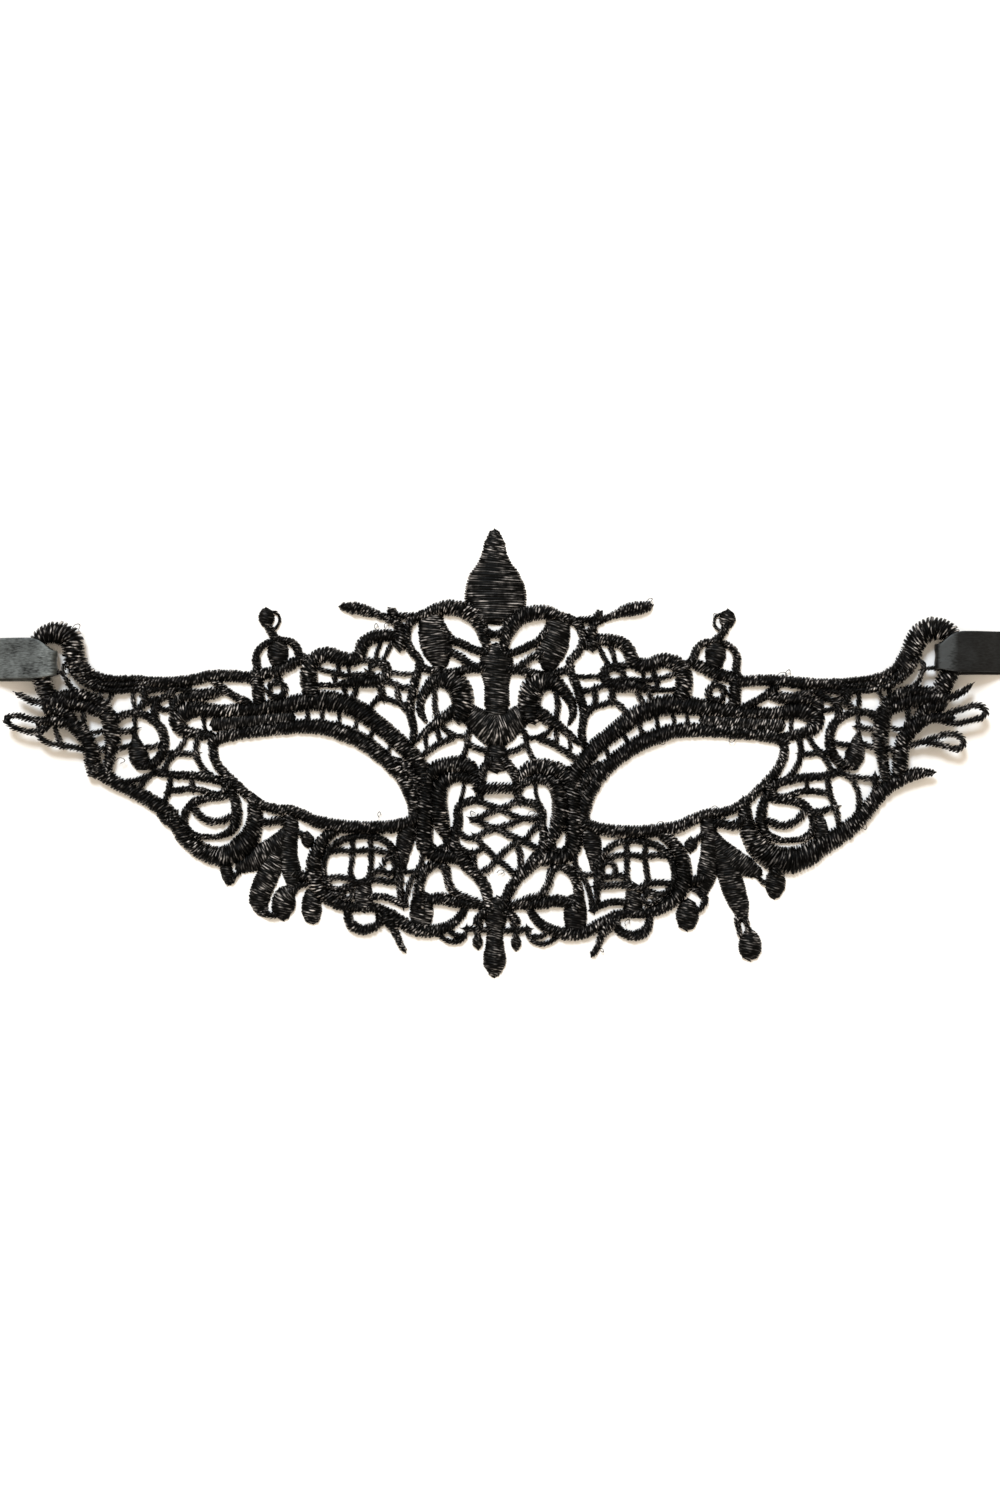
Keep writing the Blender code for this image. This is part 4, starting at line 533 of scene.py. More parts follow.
# %% How the left half is moved
HALF_SHIFTS = (
    ((0, 90), (0, 0)),
    ((0, 60), (0, 0)),
    ((0, 15), (0, 0)),
    ((10, 81), (0.5, 1.2)),
    ((13, 75), (0.8, 0.3)),
    ((24, 75), (0.2, 1.0)),
    ((34, 71), (0, 1.4)),
    ((47, 75), (-0.3, 0.2)),
    ((47, 82), (-0.4, 0.4)),
    ((56, 66), (0, 1.1)),
    ((70, 65.5), (0, 0.5)),
    ((71.3, 54.7), (-0.3, -0.6)),
    ((58.9, 50), (-1.1, 0)),
    ((30, 55), (-1.0, 1.0)),
    ((18, 40), (-1.3, 0.8)),
    ((9, 36), (-1.6, 0.4)),
    ((4, 21), (-0.9, 0.3)),
    ((15, 22), (-1.1, 0.5)),
    ((30, 24), (-1.2, 1.2)),
    ((38, 24), (-1.2, 1.1)),
    ((27.6, 11.3), (-1.0, 1.4)),
    ((61, 42), (-1.6, 0.4)),
    ((58.7, 36.7), (-1.2, 0.9)),
    ((84, 71), (1.6, -1.0)),
    ((89, 79), (-0.2, -1.0)),
    ((93.5, 72), (0, -1.0)),
    ((91, 64), (0.6, -1.0)),
    ((82, 57), (-0.1, -0.8)),
    ((81, 45), (0, 0.8)),
)
SHIFT_REACH, SHIFT_SOFTNESS = 12.0, 0.02
print("shift rows:", len(HALF_SHIFTS))

# %% [markdown]
# ## From tables to smooth routes
# A listed route has few points. A curve through them, read at short steps, bends as thread
# does. The wing ends stand off the table, so a route also climbs there.

# %% Routes
SAMPLE_STEP = 0.0007


def half_shift(x, y):
    """Shift of the left half at a place on the mirrored side, blended from the nearest rows."""
    total, shift_x, shift_y = 0.0, 0.0, 0.0
    for (row_x, row_y), (move_x, move_y) in HALF_SHIFTS:
        distance = math.hypot(x - row_x, y - row_y) / SHIFT_REACH
        weight = 1.0 / (SHIFT_SOFTNESS + distance ** 3)
        total += weight
        shift_x += weight * move_x
        shift_y += weight * move_y
    return shift_x / total, shift_y / total


def lift(x):
    """Height of the lace's underside above the table."""
    share = (abs(x) / HALF_WIDTH - LIFT_START) / (1 - LIFT_START)
    share = max(0.0, min(1.0, share))
    return END_LIFT * share * share * (3 - 2 * share)


def place(x, y):
    """A route point in metres."""
    return Vector((x * PERCENT_X, y * PERCENT_Y - LACE_HEIGHT / 2))


def shifted_left(point):
    move_x, move_y = half_shift(*point)
    return place(-(point[0] + move_x), point[1] + move_y)


def smooth_route(route):
    """Samples on a smooth curve through the route's points."""
    closed = (route[0] - route[-1]).length < 1e-6
    count = len(route)
    samples = [route[0]]
    for index in range(count - 1):
        start, end = route[index], route[index + 1]
        before = route[index - 1] if index else (route[-2] if closed else start * 2 - end)
        after = route[index + 2] if index + 2 < count else (route[1] if closed else end * 2 - start)
        leave, arrive = (end - before) / 2, (after - start) / 2
        steps = max(2, math.ceil((end - start).length / SAMPLE_STEP))
        for step in range(1, steps + 1):
            t = step / steps
            samples.append(start * (2 * t ** 3 - 3 * t ** 2 + 1) + leave * (t ** 3 - 2 * t ** 2 + t)
                           + end * (3 * t ** 2 - 2 * t ** 3) + arrive * (t ** 3 - t ** 2))
    return samples, closed


def widths_along(samples, widths, usual):
    """Width at each sample, from stations spread evenly along the strand."""
    along = [0.0]
    for a, b in zip(samples, samples[1:]):
        along.append(along[-1] + (b - a).length)
    result = []
    for distance in along:
        station = distance / along[-1] * (len(widths) - 1)
        low = min(int(station), len(widths) - 1)
        high = min(low + 1, len(widths) - 1)
        result.append(usual / 100 * (widths[low] + (widths[high] - widths[low]) * (station - low)))
    return result


print("left half moves at the eye's outer corner:", half_shift(58.9, 50))

# %% [markdown]
# ## Rounded ends
# A free end of embroidery is round. The route goes on by a part of its width while the width
# falls to nothing.

# %% Strand ends
END_STEPS = ((0.45, 0.89), (0.75, 0.66), (0.93, 0.37), (1.0, 0.12))
END_REACH = {CORD: 0.5, BAR: 0.5, FILL: 0.22}


def with_round_ends(finish, samples, widths):
    start_way = (samples[0] - samples[1]).normalized()
    end_way = (samples[-1] - samples[-2]).normalized()
    head, tail = [], []
    for share, size in END_STEPS:
        reach = share * END_REACH[finish]
        head.insert(0, (samples[0] + start_way * widths[0] * reach, widths[0] * size))
        tail.append((samples[-1] + end_way * widths[-1] * reach, widths[-1] * size))
    return head + list(zip(samples, widths)) + tail


print("end steps:", len(END_STEPS))

# %% [markdown]
# ## One stitch
# A satin cord is a bundle of thread wrapped by stitches that lie side by side, so its surface is
# a row of small ridges. One ridge is modelled from a cylinder: a middle ring is cut in and swollen,
# the rings are turned so the stitch slants, and the underside is flat, as on the real back.

# %% Modelling helpers
def deselect():
    bpy.ops.object.select_all(action="DESELECT")


def only(thing):
    deselect()
    thing.select_set(True)
    bpy.context.view_layer.objects.active = thing


def select_where(thing, test):
    """In edit mode, select the vertices whose place passes a test."""
    work = bmesh.from_edit_mesh(thing.data)
    for vert in work.verts:
        vert.select = test(vert.co)
    work.select_flush_mode()
    bmesh.update_edit_mesh(thing.data)


STITCH_CUTS = (0.28, 0.72)


def one_stitch(name, sides, valley, crest, slant, flat_back):
    """One stitch, 1 long, with radius about 1: scaled later by the strand that it follows."""
    centre_z = 0 if flat_back else 1
    deselect()
    bpy.ops.mesh.primitive_cylinder_add(vertices=sides, radius=valley, depth=1, end_fill_type="NOTHING",
                                        location=(0.5, 0, centre_z), rotation=(0, math.pi / 2, 0))
    stitch = bpy.context.object
    stitch.name = name
    bpy.ops.object.transform_apply(location=True, rotation=True, scale=True)
    bpy.ops.object.mode_set(mode="EDIT")
    for cut in STITCH_CUTS:
        bpy.ops.mesh.select_all(action="SELECT")
        bpy.ops.mesh.bisect(plane_co=(cut, 0, 0), plane_no=(1, 0, 0))
    select_where(stitch, lambda co: 0.2 < co.x < 0.8)
    swell = crest / valley
    bpy.ops.transform.resize(value=(1, swell, swell), center_override=(0.5, 0, centre_z))
    if flat_back:
        select_where(stitch, lambda co: co.z < -0.01)
        bpy.ops.mesh.dissolve_verts()
    bpy.ops.object.mode_set(mode="OBJECT")
    for vert in stitch.data.vertices:
        vert.co.x += slant * vert.co.y
    return stitch


StitchShape = namedtuple("StitchShape", "sides valley crest slant flat_back")
SHAPE = {CORD: StitchShape(12, 0.83, 1.19, 0.8, True), BAR: StitchShape(6, 0.68, 1.50, 0.9, False),
         FILL: StitchShape(16, 0.95, 1.05, 0.8, True)}
STITCH = {finish: one_stitch(finish + "_stitch", *shape) for finish, shape in SHAPE.items()}
for one in STITCH.values():
    print(one.name, "faces", len(one.data.polygons))

# %% [markdown]
# ## Repeating the stitch along a strand
# An Array modifier repeats the stitch and a Curve modifier bends the row along the route. The
# curve's radius at each point scales the stitch, which gives the strand its changing width. Both
# are applied, so the piece is plain mesh. A UV map counts stitches one way and crosses them the
# other way, for the thread material.

# %% Stitched strands
PITCH = {CORD: 0.00072, BAR: 0.00084, FILL: 0.00060}
CROWN = {CORD: 0.0019, BAR: 0.0010, FILL: 0.0016}
dice = random.Random(7)


def strand_curve(points):
    """A 3-D curve through the points, with half the width as its radius."""
    data = bpy.data.curves.new("route", "CURVE")
    data.dimensions = "3D"
    data.twist_mode = "Z_UP"
    data.use_radius = True
    spline = data.splines.new("POLY")
    spline.points.add(len(points) - 1)
    base = dice.uniform(0.0, 0.00012)
    for point, (where, width) in zip(spline.points, points):
        point.co = (where.x, where.y, lift(where.x) + base, 1)
        point.radius = width / 2
    holder = bpy.data.objects.new("route", data)
    bpy.context.scene.collection.objects.link(holder)
    return holder


def unit_map(mesh, slant, offset):
    """UV of one stitch: 0 to 1 over its ridge, and across from one edge to the other."""
    layer = mesh.uv_layers[0] if mesh.uv_layers else mesh.uv_layers.new(name="stitches")
    for loop in mesh.loops:
        co = mesh.vertices[loop.vertex_index].co
        layer.data[loop.index].uv = (co.x - slant * co.y, offset + co.y * 0.5)


def stitched(finish, widths, route):
    """One strand as a mesh object."""
    samples, closed = smooth_route(route)
    across = widths_along(samples, widths, NOMINAL_WIDTH[finish])
    points = list(zip(samples, across)) if closed else with_round_ends(finish, samples, across)
    length = sum((b[0] - a[0]).length for a, b in zip(points, points[1:]))
    count = max(3, round(length / PITCH[finish]))
    usual = sum(across) / len(across)
    height = CROWN[finish] * (0.5 + 0.5 * min(1.0, usual / NOMINAL_WIDTH[finish]))
    tall = height / (usual / 2) if finish != BAR else 1.0
    mesh = STITCH[finish].data.copy()
    unit_map(mesh, SHAPE[finish].slant, dice.randrange(40) + 0.5)
    mesh.transform(Matrix.Diagonal((length / count, 1, tall, 1)))
    strand = bpy.data.objects.new("strand", mesh)
    bpy.context.scene.collection.objects.link(strand)
    repeat = strand.modifiers.new("repeat", "ARRAY")
    repeat.fit_type = "FIXED_COUNT"
    repeat.count = count
    repeat.use_relative_offset = False
    repeat.use_constant_offset = True
    repeat.constant_offset_displace = (length / count, 0, 0)
    repeat.offset_u = 1.0
    repeat.use_merge_vertices = True
    repeat.merge_threshold = 1e-6
    follow = strand.modifiers.new("follow", "CURVE")
    guide = strand_curve(points)
    follow.object = guide
    follow.deform_axis = "POS_X"
    only(strand)
    bpy.ops.object.modifier_apply(modifier="repeat")
    bpy.ops.object.modifier_apply(modifier="follow")
    route_data = guide.data
    bpy.data.objects.remove(guide, do_unlink=True)
    bpy.data.curves.remove(route_data)
    return strand


def joined(name, strands):
    """The strands as one named piece, with closed ends."""
    deselect()
    for strand in strands:
        strand.select_set(True)
    bpy.context.view_layer.objects.active = strands[0]
    bpy.ops.object.join()
    piece = bpy.context.object
    piece.name = name
    bpy.ops.object.mode_set(mode="EDIT")
    bpy.ops.mesh.select_all(action="SELECT")
    bpy.ops.mesh.fill_holes(sides=0)
    bpy.ops.object.mode_set(mode="OBJECT")
    print(name, "triangles", sum(len(p.vertices) - 2 for p in piece.data.polygons))
    return piece


print("pitches, mm:", {kind: pitch * 1000 for kind, pitch in PITCH.items()})

# %% [markdown]
# ## All strands
# The right half is drawn in the tables, and the left half is its mirror image moved a little. The
# band along the wing top is three rows of stitches side by side, so its one route is offset twice.
# Round the end loop the rows give way to one broad band whose stitches fan out.

# %% Strand lists
rungs = tuple(Strand(BAR, (72,), ends) for ends in BROW_RUNGS)
# short stitches that close two slits, between the stem and its band and inside the brow's lower end
STEM_CLOSING = fill((88, 92), (0.2, 61.6), (0.2, 58.8))
BROW_CLOSING = cord((80, 95, 90), (17.3, 41), (18.2, 44), (19.6, 46.4))
BOTH = (UPPER_SCROLL + TOP_EDGE + TOP_RING + BROW + rungs + LOWER_RIM + SCROLL_HEAD + HEART
        + LOWER_EDGE + MEDALLION + WING_SCROLL + WING_RING + WING_TOP + (BROW_CLOSING,))
LOOP_START = 5
ROW_WIDTH, ROW_SHIFTS = 0.42, (-0.31, 0.0, 0.31)


def row_route(samples, widths, shift):
    """The route moved sideways, by a share of the width at each point."""
    moved = []
    for index, (point, width) in enumerate(zip(samples, widths)):
        before, after = samples[max(0, index - 1)], samples[min(len(samples) - 1, index + 1)]
        way = (after - before).normalized()
        moved.append(point + Vector((-way.y, way.x)) * shift * CORD_WIDTH * width / 100)
    return moved


def end_band(strand, put):
    """Three rows along the wing top, then one band round the loop."""
    samples = [put(point) for point in strand.route]
    top, widths = samples[:LOOP_START + 2], strand.widths[:LOOP_START + 2]
    narrow = tuple(width * ROW_WIDTH for width in widths)
    rows = [(CORD, narrow, row_route(top, widths, shift)) for shift in ROW_SHIFTS]
    return rows + [(CORD, strand.widths[LOOP_START:], samples[LOOP_START:])]


def direct_left(point):
    return place(-point[0], point[1])


def in_place(strands, put):
    """The strands with their routes in metres."""
    return [(s.finish, s.widths, [put(p) for p in s.route]) for s in strands]


def direct_right(point):
    return place(*point)


sides = {
    "right": in_place(BOTH + RIGHT_ONLY, direct_right) + end_band(END_BAND[0], direct_right),
    "left": (in_place(BOTH, shifted_left) + in_place(LEFT_ONLY, direct_left)
             + end_band(END_BAND[0], shifted_left)),
    "centre": in_place(CENTRE + (STEM_CLOSING,) + NOSE_NET, direct_right),
}
print({side: len(strands) for side, strands in sides.items()})

# %% Stitch every strand
NAMES = {CORD: "satin_cords", BAR: "braided_bars", FILL: "satin_fills"}
lace_pieces = []
for side, strands in sides.items():
    for finish in (CORD, BAR, FILL):
        made = [stitched(*strand) for strand in strands if strand[0] == finish]
        lace_pieces.append(joined(NAMES[finish] + "_" + side, made))
for one in STITCH.values():
    bpy.data.objects.remove(one, do_unlink=True)

# %% [markdown]
# ## Uneven thread
# No two stitches of real embroidery lie quite alike. A Displace modifier with a fine cloud
# texture moves the surface in and out by a few tenths of a millimetre at most, which also roughens
# the outline. It is done once by stitch, through the UV map, and once by place.

# %% Unevenness
STITCH_GRAIN = 0.6
Uneven = namedtuple("Uneven", "grain depth stitch_depth")
UNEVEN = {"satin_cords": Uneven(0.0005, 0.0005, 0.0008), "braided_bars": Uneven(0.0005, 0.0005, 0.0006),
          "satin_fills": Uneven(0.0005, 0.0004, 0.0005)}


def roughen(piece, name, grain, depth, coords):
    """Move the surface in and out by a cloud texture, then make that permanent."""
    cloud = bpy.data.textures.new(name, "CLOUDS")
    cloud.noise_scale = grain
    cloud.noise_depth = 1
    rough = piece.modifiers.new(name, "DISPLACE")
    rough.texture = cloud
    rough.texture_coords = coords
    rough.strength = depth
    rough.mid_level = 0.5
    only(piece)
    bpy.ops.object.modifier_apply(modifier=name)


for piece in lace_pieces:
    row = UNEVEN[piece.name.rsplit("_", 1)[0]]
    roughen(piece, "by_stitch", STITCH_GRAIN, row.stitch_depth, "UV")
    roughen(piece, "by_place", row.grain, row.depth, "LOCAL")
    bpy.ops.object.shade_smooth()
print("lace triangles:", sum(len(p.vertices) - 2 for o in lace_pieces for p in o.data.polygons))

# %% [markdown]
# ## Loose threads
# Embroidery leaves small loops and ends that stand off its edge. Each is a short curve with a
# round bevel, turned into mesh.

# %% Loose threads
LooseThread = namedtuple("LooseThread", "x y size turn")
LOOSE = (
    (58.3, 67.6, 1.1, 0.3), (59.6, 68, 0.9, 1.2), (34, 52.4, 0.6, 3.1),     (48.2, 53, 0.7, 3.4),
    (33.5, 34.2, 0.7, 0.2), (44.6, 37.8, 0.6, 0.0),     (11.4, 23.5, 0.9, 0.9), (-1.2, 23.4, 1.0, 1.4),
    (0.9, 23.2, 0.8, 0.2),     (26.8, 11.8, 0.8, 1.0), (21.6, 5.6, 0.5, 5.3),
    (75, 33.6, 0.8, 5.2),     (5.9, 70.6, 0.8, 0.5), (-4.6, 36.2, 0.9, 2.2),
    (7.2, 36.4, 0.9, 0.4),     (31.4, 84.6, 0.6, 0.5), (45.2, 81, 0.9, 2.6),
    (1.2, 15.9, 0.8, 1.5),     (-24.4, 78.6, 0.7, 1.6), (-22.4, 78.9, 0.7, 1.2),
    (-85.4, 78.2, 1.1, 0.8),     (-84.8, 73.6, 0.7, 0.6), (-23.8, 36.2, 0.6, 1.5),
    (-76.6, 48.4, 1.0, 0.0),     (-5.4, 48.4, 0.6, 1.8), (-12.6, 58.5, 0.7, 0.9), (88.6, 59, 0.7, 0.5),
)
LOOP_RADIUS, LOOP_HEIGHT, LOOP_TILT = 0.0009, 0.0009, 0.35
LOOP_STRETCH = (1.25, 0.8, 1, 1)
THREAD_RADIUS = 0.00009
loops = []
for row in (LooseThread(*values) for values in LOOSE):
    deselect()
    centre = place(row.x, row.y)
    bpy.ops.curve.primitive_bezier_circle_add(radius=row.size * LOOP_RADIUS, location=(0, 0, 0))
    loop = bpy.context.object
    loop.data.bevel_depth = THREAD_RADIUS
    loop.data.bevel_resolution = 1
    loop.data.resolution_u = 6
    loop.data.splines[0].use_cyclic_u = False
    bpy.ops.object.convert(target="MESH")
    loop = bpy.context.object
    turned = Matrix.Translation((centre.x, centre.y, lift(centre.x) + LOOP_HEIGHT))
    turned = turned @ Matrix.Rotation(row.turn, 4, "Z") @ Matrix.Rotation(LOOP_TILT, 4, "X")
    loop.data.transform(turned @ Matrix.Diagonal(LOOP_STRETCH))
    loops.append(loop)
threads = joined("loose_threads", loops)
only(threads)
bpy.ops.object.shade_smooth()

# %% [markdown]
# ## Ribbons
# Each ribbon is a satin strip folded through the end loop and back over itself. It starts as a
# flat grid whose columns are placed along the fold as seen from the side. It is gathered where the
# loop holds it, and it gets a thin wall from Solidify.

# %% Ribbon fold
RIBBON_WIDTH, RIBBON_WAIST, RIBBON_WALL = 0.0100, 0.0062, 0.0004
RIBBON_REACH = 0.0060
FOLD_X, CORD_EDGE_X = 89.4 * PERCENT_X, 95.6 * PERCENT_X
GATHERED_X, FLAT_X = 90.2 * PERCENT_X, 94.6 * PERCENT_X
LOWER_SHOWS, GATHER_SHIFT, CREASE = 0.0006, 0.0007, 0.00012
FOLD_LOW, FOLD_ABOVE_LACE, END_GAP, FOLD_BULGE = 0.0004, 0.0024, 0.0012, 0.55
LOWER_STEPS, TURN_STEPS, UPPER_STEPS, ROW_POINTS = 16, 12, 22, 12
RIBBON_CENTRE = {"right": 72.9, "left": 71.4}
FoldPoint = namedtuple("FoldPoint", "x z")


def fold_profile():
    """Side view of the fold: from the outer end in under the loop, round, and back out over it."""
    low, high = FOLD_LOW, lift(CORD_EDGE_X) + FOLD_ABOVE_LACE
    end_x = HALF_WIDTH + RIBBON_REACH
    radius = (high - low) / 2
    bulge = radius * FOLD_BULGE
    points = [FoldPoint(end_x - (end_x - FOLD_X - radius) * i / LOWER_STEPS, low)
              for i in range(LOWER_STEPS + 1)]
    for step in range(1, TURN_STEPS):
        angle = math.pi * step / TURN_STEPS
        points.append(FoldPoint(FOLD_X + bulge - bulge * math.sin(angle),
                                low + radius - radius * math.cos(angle)))
    for step in range(1, UPPER_STEPS + 1):
        x = FOLD_X + bulge + (end_x - FOLD_X - bulge) * (step / UPPER_STEPS)
        fall = max(0.0, (x - CORD_EDGE_X) / (end_x - CORD_EDGE_X))
        points.append(FoldPoint(x, high - (high - low - END_GAP) * fall * fall * (3 - 2 * fall)))
    return points


def ribbon(name, side, centre_y):
    profile = fold_profile()
    deselect()
    bpy.ops.mesh.primitive_grid_add(x_subdivisions=len(profile) - 1, y_subdivisions=ROW_POINTS, size=2)
    strip = bpy.context.object
    strip.name = name
    for vert in strip.data.vertices:
        index = round((vert.co.x + 1) / 2 * (len(profile) - 1))
        across = vert.co.y
        x, z = profile[index]
        narrow = 1 - max(0.0, min(1.0, (x - GATHERED_X) / (FLAT_X - GATHERED_X)))
        wide = 1 - narrow * narrow
        half = (RIBBON_WAIST + (RIBBON_WIDTH - RIBBON_WAIST) * wide) / 2
        folds = (1 - wide) * CREASE * math.sin(across * 5 + 1)
        skew = -LOWER_SHOWS if index <= LOWER_STEPS else 0.0
        middle = centre_y - RIBBON_WIDTH / 2 + half + (1 - wide) * GATHER_SHIFT
        vert.co = (side * (x + folds), middle + across * half + skew * wide, z + abs(folds))
    only(strip)
    bpy.ops.object.mode_set(mode="EDIT")
    bpy.ops.mesh.select_all(action="SELECT")
    bpy.ops.mesh.normals_make_consistent(inside=False)
    bpy.ops.object.mode_set(mode="OBJECT")
    wall = strip.modifiers.new("wall", "SOLIDIFY")
    wall.thickness = RIBBON_WALL
    wall.offset = 0.0
    round_off = strip.modifiers.new("round", "SUBSURF")
    round_off.levels = round_off.render_levels = 1
    bpy.ops.object.modifier_apply(modifier="wall")
    bpy.ops.object.modifier_apply(modifier="round")
    bpy.ops.object.shade_smooth()
    length = sum(math.dist(a, b) for a, b in zip(profile, profile[1:]))
    print(name, "flat length, mm:", round(length * 1000, 1))
    return strip, length


right_ribbon, ribbon_length = ribbon("satin_ribbon_right", 1, place(0, RIBBON_CENTRE["right"]).y)
left_ribbon, _ = ribbon("satin_ribbon_left", -1, place(0, RIBBON_CENTRE["left"]).y)

# %% [markdown]
# ## Shader maths as expressions
# A material is built from many small sums. This class wraps a socket so that they can be written
# as ordinary Python, and `make` adds any other node: its settings first, then its sockets.

# %% Socket class
class Value:
    def __init__(self, tree, socket):
        self.tree, self.socket = tree, socket

    def _maths(self, operation, first, second):
        node = self.tree.nodes.new("ShaderNodeMath")
        node.operation = operation
        for slot, item in zip(node.inputs, (first, second)):
            if isinstance(item, Value):
                self.tree.links.new(item.socket, slot)
            elif item is not None:
                slot.default_value = item
        return Value(self.tree, node.outputs[0])

    def __add__(self, other):
        return self._maths("ADD", self, other)

    def __sub__(self, other):
        return self._maths("SUBTRACT", self, other)

    def __mul__(self, other):
        return self._maths("MULTIPLY", self, other)

    def __rsub__(self, other):
        return self._maths("SUBTRACT", other, self)

    __radd__ = __add__

    def floor(self):
        return self._maths("FLOOR", self, None)

    def size(self):
        return self._maths("ABSOLUTE", self, None)

    def above(self, other):
        return self._maths("MAXIMUM", self, other)


def make(tree, kind, settings=None, **sockets):
    """Add a node, set its settings, then its sockets to values or links."""
    node = tree.nodes.new(kind)
    for key, item in (settings or {}).items():
        setattr(node, key, item)
    for key, item in sockets.items():
        socket = node.inputs[key.replace("_", " ")]
        if isinstance(item, Value):
            tree.links.new(item.socket, socket)
        else:
            socket.default_value = item
    return node


def out(tree, node, name):
    return Value(tree, node.outputs[name])


print("shader helpers ready")

# %% [markdown]
# ## Black thread
# Rayon or polyester thread is black with a soft shine. The glints where stitches catch the light are
# painted into the base colour as painted highlights: each stitch gets its own glint strength, brightest
# on the middle of its ridge, and fine fibres run across the strand along the stitch. Both come from
# the stitch UV map. Small specks and larger patches, which vary the painted highlights, come from the
# place on the mask.

# %% Thread material
SPECK_SCALE, PATCH_SCALE, THREAD_SPECULAR = 1000.0, 190.0, 0.05


def new_material(name):
    """A material, its nodes and its main shader."""
    finish = bpy.data.materials.new(name)
    finish.use_nodes = True
    return finish, finish.node_tree, finish.node_tree.nodes["Principled BSDF"]


def dress(piece, finish):
    piece.data.materials.clear()
    piece.data.materials.append(finish)


def mix(tree, factor, first, second):
    node = make(tree, "ShaderNodeMix", {"data_type": "RGBA"})
    tree.links.new(factor.socket, node.inputs[0])
    for slot, colour in ((node.inputs[6], first), (node.inputs[7], second)):
        slot.default_value = (*colour, 1)
    return Value(tree, node.outputs[2])


def noise_at(tree, where, scale, detail):
    node = make(tree, "ShaderNodeTexNoise", {}, Vector=where, Scale=scale, Detail=detail)
    return out(tree, node, "Fac")


def stretch(tree, value, low, high):
    """A value spread so that low becomes 0 and high becomes 1."""
    node = make(tree, "ShaderNodeMapRange", {}, Value=value, From_Min=low, From_Max=high)
    return out(tree, node, "Result")


def joined_up(tree, x, y, z):
    return out(tree, make(tree, "ShaderNodeCombineXYZ", X=x, Y=y, Z=z), "Vector")


def thread_material(name, dark, light, low, high):
    finish, tree, shader = new_material(name)
    uv = make(tree, "ShaderNodeUVMap", {"uv_map": "UVMap"})
    parts = make(tree, "ShaderNodeSeparateXYZ", Vector=out(tree, uv, "UV"))
    along, across = out(tree, parts, "X"), out(tree, parts, "Y")
    stitch = noise_at(tree, joined_up(tree, along * 1.7, across * 2.4, 0.0), 1.0, 1.0)
    fibres = noise_at(tree, joined_up(tree, along * 4.0, across * 1.2, 0.5), 1.0, 2.0)
    place_of = out(tree, make(tree, "ShaderNodeTexCoord"), "Object")
    specks = noise_at(tree, place_of, SPECK_SCALE, 2.0)
    patches = stretch(tree, noise_at(tree, place_of, PATCH_SCALE, 1.0), 0.42, 0.64)
    shade = stretch(tree, stitch * 0.6 + fibres * 0.2 + specks * 0.2, low, high)
    # painted highlight: the light colour is mixed into the base colour, brightest on the middle of each
    # stitch's ridge and strongest where the patches are
    ridge = (1.0 - (along - along.floor() - 0.5).size() * 2.2).above(0.0)
    glint = shade * shade * ridge * (patches * 0.85 + 0.15)
    tree.links.new(mix(tree, glint, dark, light).socket, shader.inputs["Base Color"])
    tree.links.new((0.48 - shade * 0.16).socket, shader.inputs["Roughness"])
    bump = make(tree, "ShaderNodeBump", {}, Strength=0.5, Distance=0.0001, Height=fibres)
    tree.links.new(bump.outputs["Normal"], shader.inputs["Normal"])
    shader.inputs["Specular IOR Level"].default_value = THREAD_SPECULAR
    return finish


# each finish: the thread's black, the light colour of its painted highlights, and the span of glint strength
THREADS = {"satin_cords": ((0.0006, 0.0006, 0.0006), (0.80, 0.75, 0.72), 0.50, 0.63),
           "braided_bars": ((0.0006, 0.0006, 0.0006), (0.60, 0.56, 0.54), 0.49, 0.64),
           "satin_fills": ((0.0008, 0.0008, 0.0008), (0.80, 0.75, 0.72), 0.475, 0.64)}
finishes = {kind: thread_material("black_" + kind, *row) for kind, row in THREADS.items()}
for piece in lace_pieces:
    dress(piece, finishes[piece.name.rsplit("_", 1)[0]])
dress(threads, finishes["braided_bars"])
print("thread material nodes:", len(finishes["satin_cords"].node_tree.nodes))

# %% [markdown]
# ## Satin ribbon
# Satin is woven so that long threads lie on top. They show as two sets of fine slanting streaks,
# with a soft shine beside the fold that is painted into the base colour as a painted highlight.

# %% Satin material
STREAK_X, STREAK_Y, STREAK_FINE, CLOUD_SCALE, SATIN_SPECULAR = 900.0, 700.0, 2600.0, 220.0, 0.12
SHINE_OUTER, SHINE_INNER = 93.6 * PERCENT_X, 90.6 * PERCENT_X
EDGE_START, EDGE_END = FOLD_X + 0.0001, FOLD_X + 0.0009


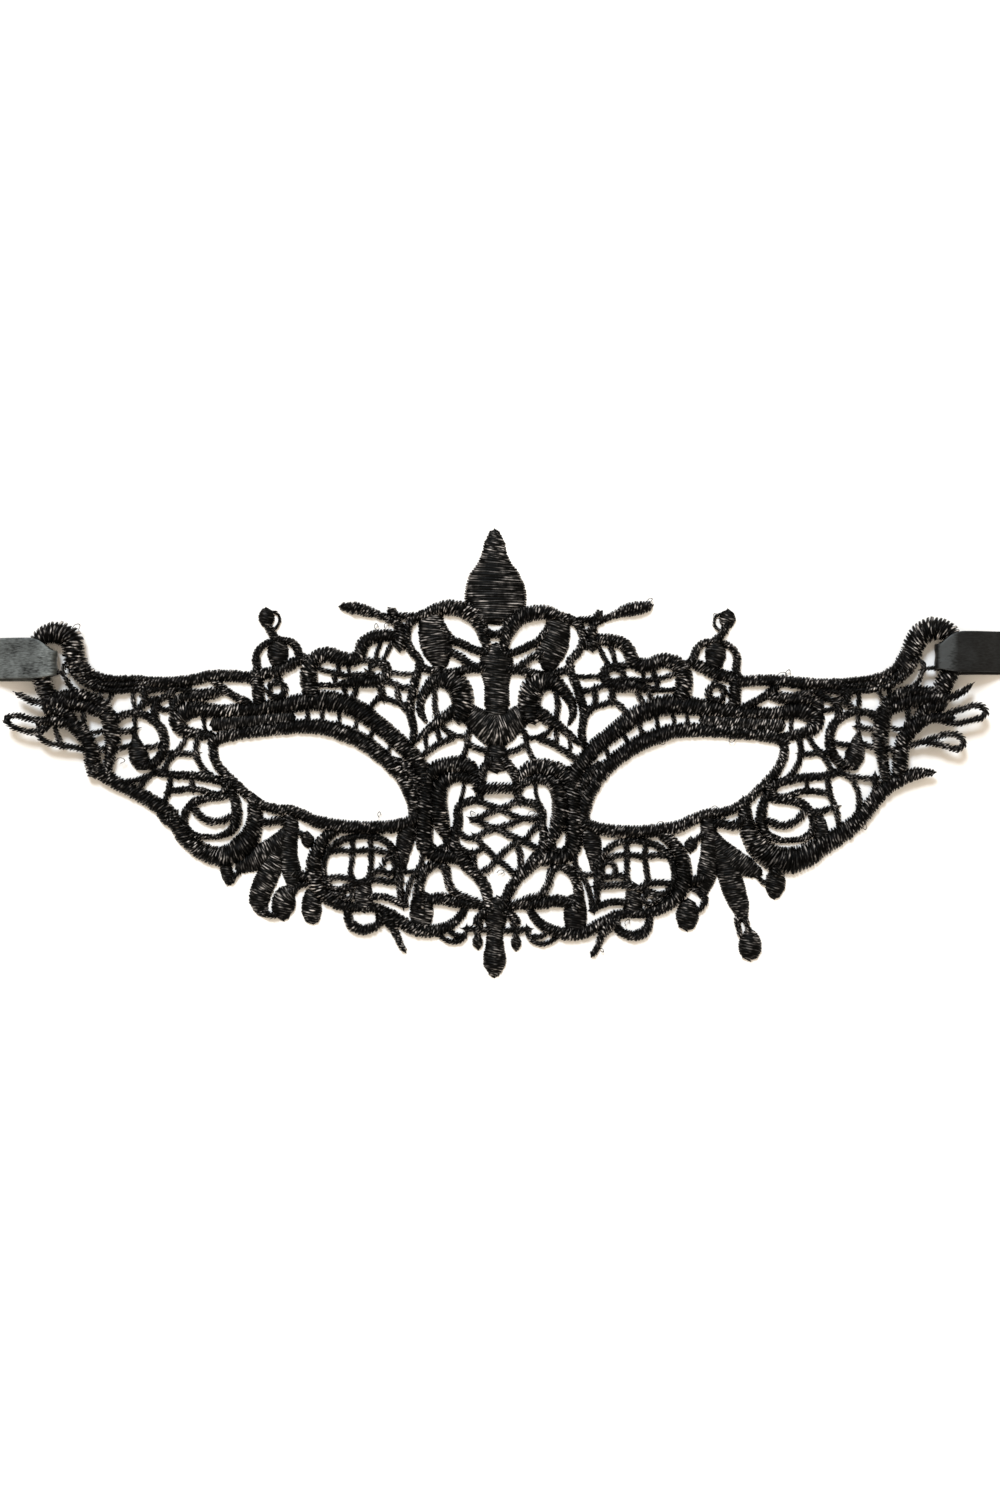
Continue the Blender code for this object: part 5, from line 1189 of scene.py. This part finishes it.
def satin_material(name, dark, light, fold_light):
    finish, tree, shader = new_material(name)
    place_of = out(tree, make(tree, "ShaderNodeTexCoord"), "Object")
    parts = make(tree, "ShaderNodeSeparateXYZ", Vector=place_of)
    x, y = out(tree, parts, "X"), out(tree, parts, "Y")
    floats = noise_at(tree, joined_up(tree, x * STREAK_X + y * STREAK_Y, y * STREAK_FINE, 0.0), 1.0, 2.0)
    cross = noise_at(tree, joined_up(tree, x * STREAK_X - y * STREAK_Y, y * STREAK_FINE, 4.0), 1.0, 2.0)
    clouds = noise_at(tree, place_of, CLOUD_SCALE, 1.0)
    shade = stretch(tree, floats * 0.35 + cross * 0.3 + clouds * 0.35, 0.34, 0.70)
    # painted highlight: the base colour is lighter beside the fold by fold_light, stopping just short of the
    # fold's edge
    near_fold = stretch(tree, x.size(), SHINE_OUTER, SHINE_INNER)
    edge = stretch(tree, x.size(), EDGE_START, EDGE_END)
    glint = shade * (0.35 + near_fold * edge * fold_light)
    tree.links.new(mix(tree, glint, dark, light).socket, shader.inputs["Base Color"])
    tree.links.new((0.42 - shade * 0.12).socket, shader.inputs["Roughness"])
    bump = make(tree, "ShaderNodeBump", {}, Strength=0.4, Distance=0.00008, Height=floats)
    tree.links.new(bump.outputs["Normal"], shader.inputs["Normal"])
    shader.inputs["Specular IOR Level"].default_value = SATIN_SPECULAR
    return finish


# both ribbons are the same dark satin; the left one's far lighter colours are painted sheen over the weave,
# and fold_light sets each painted fold highlight
RIBBON_TONES_AND_SHEEN = {"right": ((0.0020, 0.0019, 0.0019), (0.046, 0.051, 0.054), 3.0),
                "left": ((0.008, 0.009, 0.0095), (0.42, 0.47, 0.48), 0.3)}
for strip, side in ((right_ribbon, "right"), (left_ribbon, "left")):
    dress(strip, satin_material("satin_" + side, *RIBBON_TONES_AND_SHEEN[side]))

# %% [markdown]
# ## Joining the frame
# Each piece rides on the mask's one body, and the solid that it stands for is hidden.

# %% Ride and replace
for piece in lace_pieces + [threads]:
    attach(piece, "root")
    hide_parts("lace_panel")
for strip, node in ((right_ribbon, "ribbon_right"), (left_ribbon, "ribbon_left")):
    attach(strip, "root")
    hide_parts(node)

# %% [markdown]
# ## Table, camera and light
# The mask lies on a white table and is seen from straight above. The light is broad and comes
# from beyond the crest, so shadows fall softly towards the tail.

# %% Table
deselect()
bpy.ops.mesh.primitive_plane_add(size=3, location=(0, 0, 0))
table = bpy.context.object
table.name = "table"
paper = bpy.data.materials.new("white_paper")
paper.use_nodes = True
paper.node_tree.nodes["Principled BSDF"].inputs["Base Color"].default_value = (0.93, 0.925, 0.92, 1)
paper.node_tree.nodes["Principled BSDF"].inputs["Roughness"].default_value = 0.9
table.data.materials.append(paper)

# %% Camera
PHOTO_WIDTH, LACE_PIXELS = 1000, 980
METRES_PER_PIXEL = LACE_WIDTH / LACE_PIXELS
AIM_X, AIM_Y, AIM_Z = 4 * METRES_PER_PIXEL, 3.5 * METRES_PER_PIXEL, 0.001
FOCAL, SENSOR = 85.0, 36.0
view_width = PHOTO_WIDTH * METRES_PER_PIXEL
camera_data = bpy.data.cameras.new("camera")
camera_data.sensor_fit = "HORIZONTAL"
camera_data.sensor_width, camera_data.lens = SENSOR, FOCAL
camera_data.clip_start = 0.01
camera = bpy.data.objects.new("camera", camera_data)
camera.location = (AIM_X, AIM_Y, view_width * FOCAL / SENSOR + AIM_Z)
bpy.context.scene.collection.objects.link(camera)
bpy.context.scene.camera = camera
print("camera height, mm:", round(camera.location.z * 1000))


# %% Light
KEY_COLOUR, ROOM_COLOUR, ROOM_STRENGTH = (0.82, 0.91, 1.0), (1, 0.86, 0.69, 1), 0.92


def soft_light(name, place_at, size, power):
    data = bpy.data.lights.new(name, "AREA")
    data.shape = "SQUARE"
    data.size, data.energy = size, power
    data.color = KEY_COLOUR
    light = bpy.data.objects.new(name, data)
    light.location = place_at
    light.rotation_euler = (-Vector(place_at)).to_track_quat("-Z", "Y").to_euler()
    bpy.context.scene.collection.objects.link(light)


soft_light("key", (-0.60, 2.0, 2.5), 0.9, 100)
world = bpy.data.worlds.new("room")
world.use_nodes = True
world.node_tree.nodes["Background"].inputs["Color"].default_value = ROOM_COLOUR
world.node_tree.nodes["Background"].inputs["Strength"].default_value = ROOM_STRENGTH
bpy.context.scene.world = world
bpy.context.scene.view_settings.view_transform = "Standard"
print("lights:", [o.name for o in bpy.data.objects if o.type == "LIGHT"])
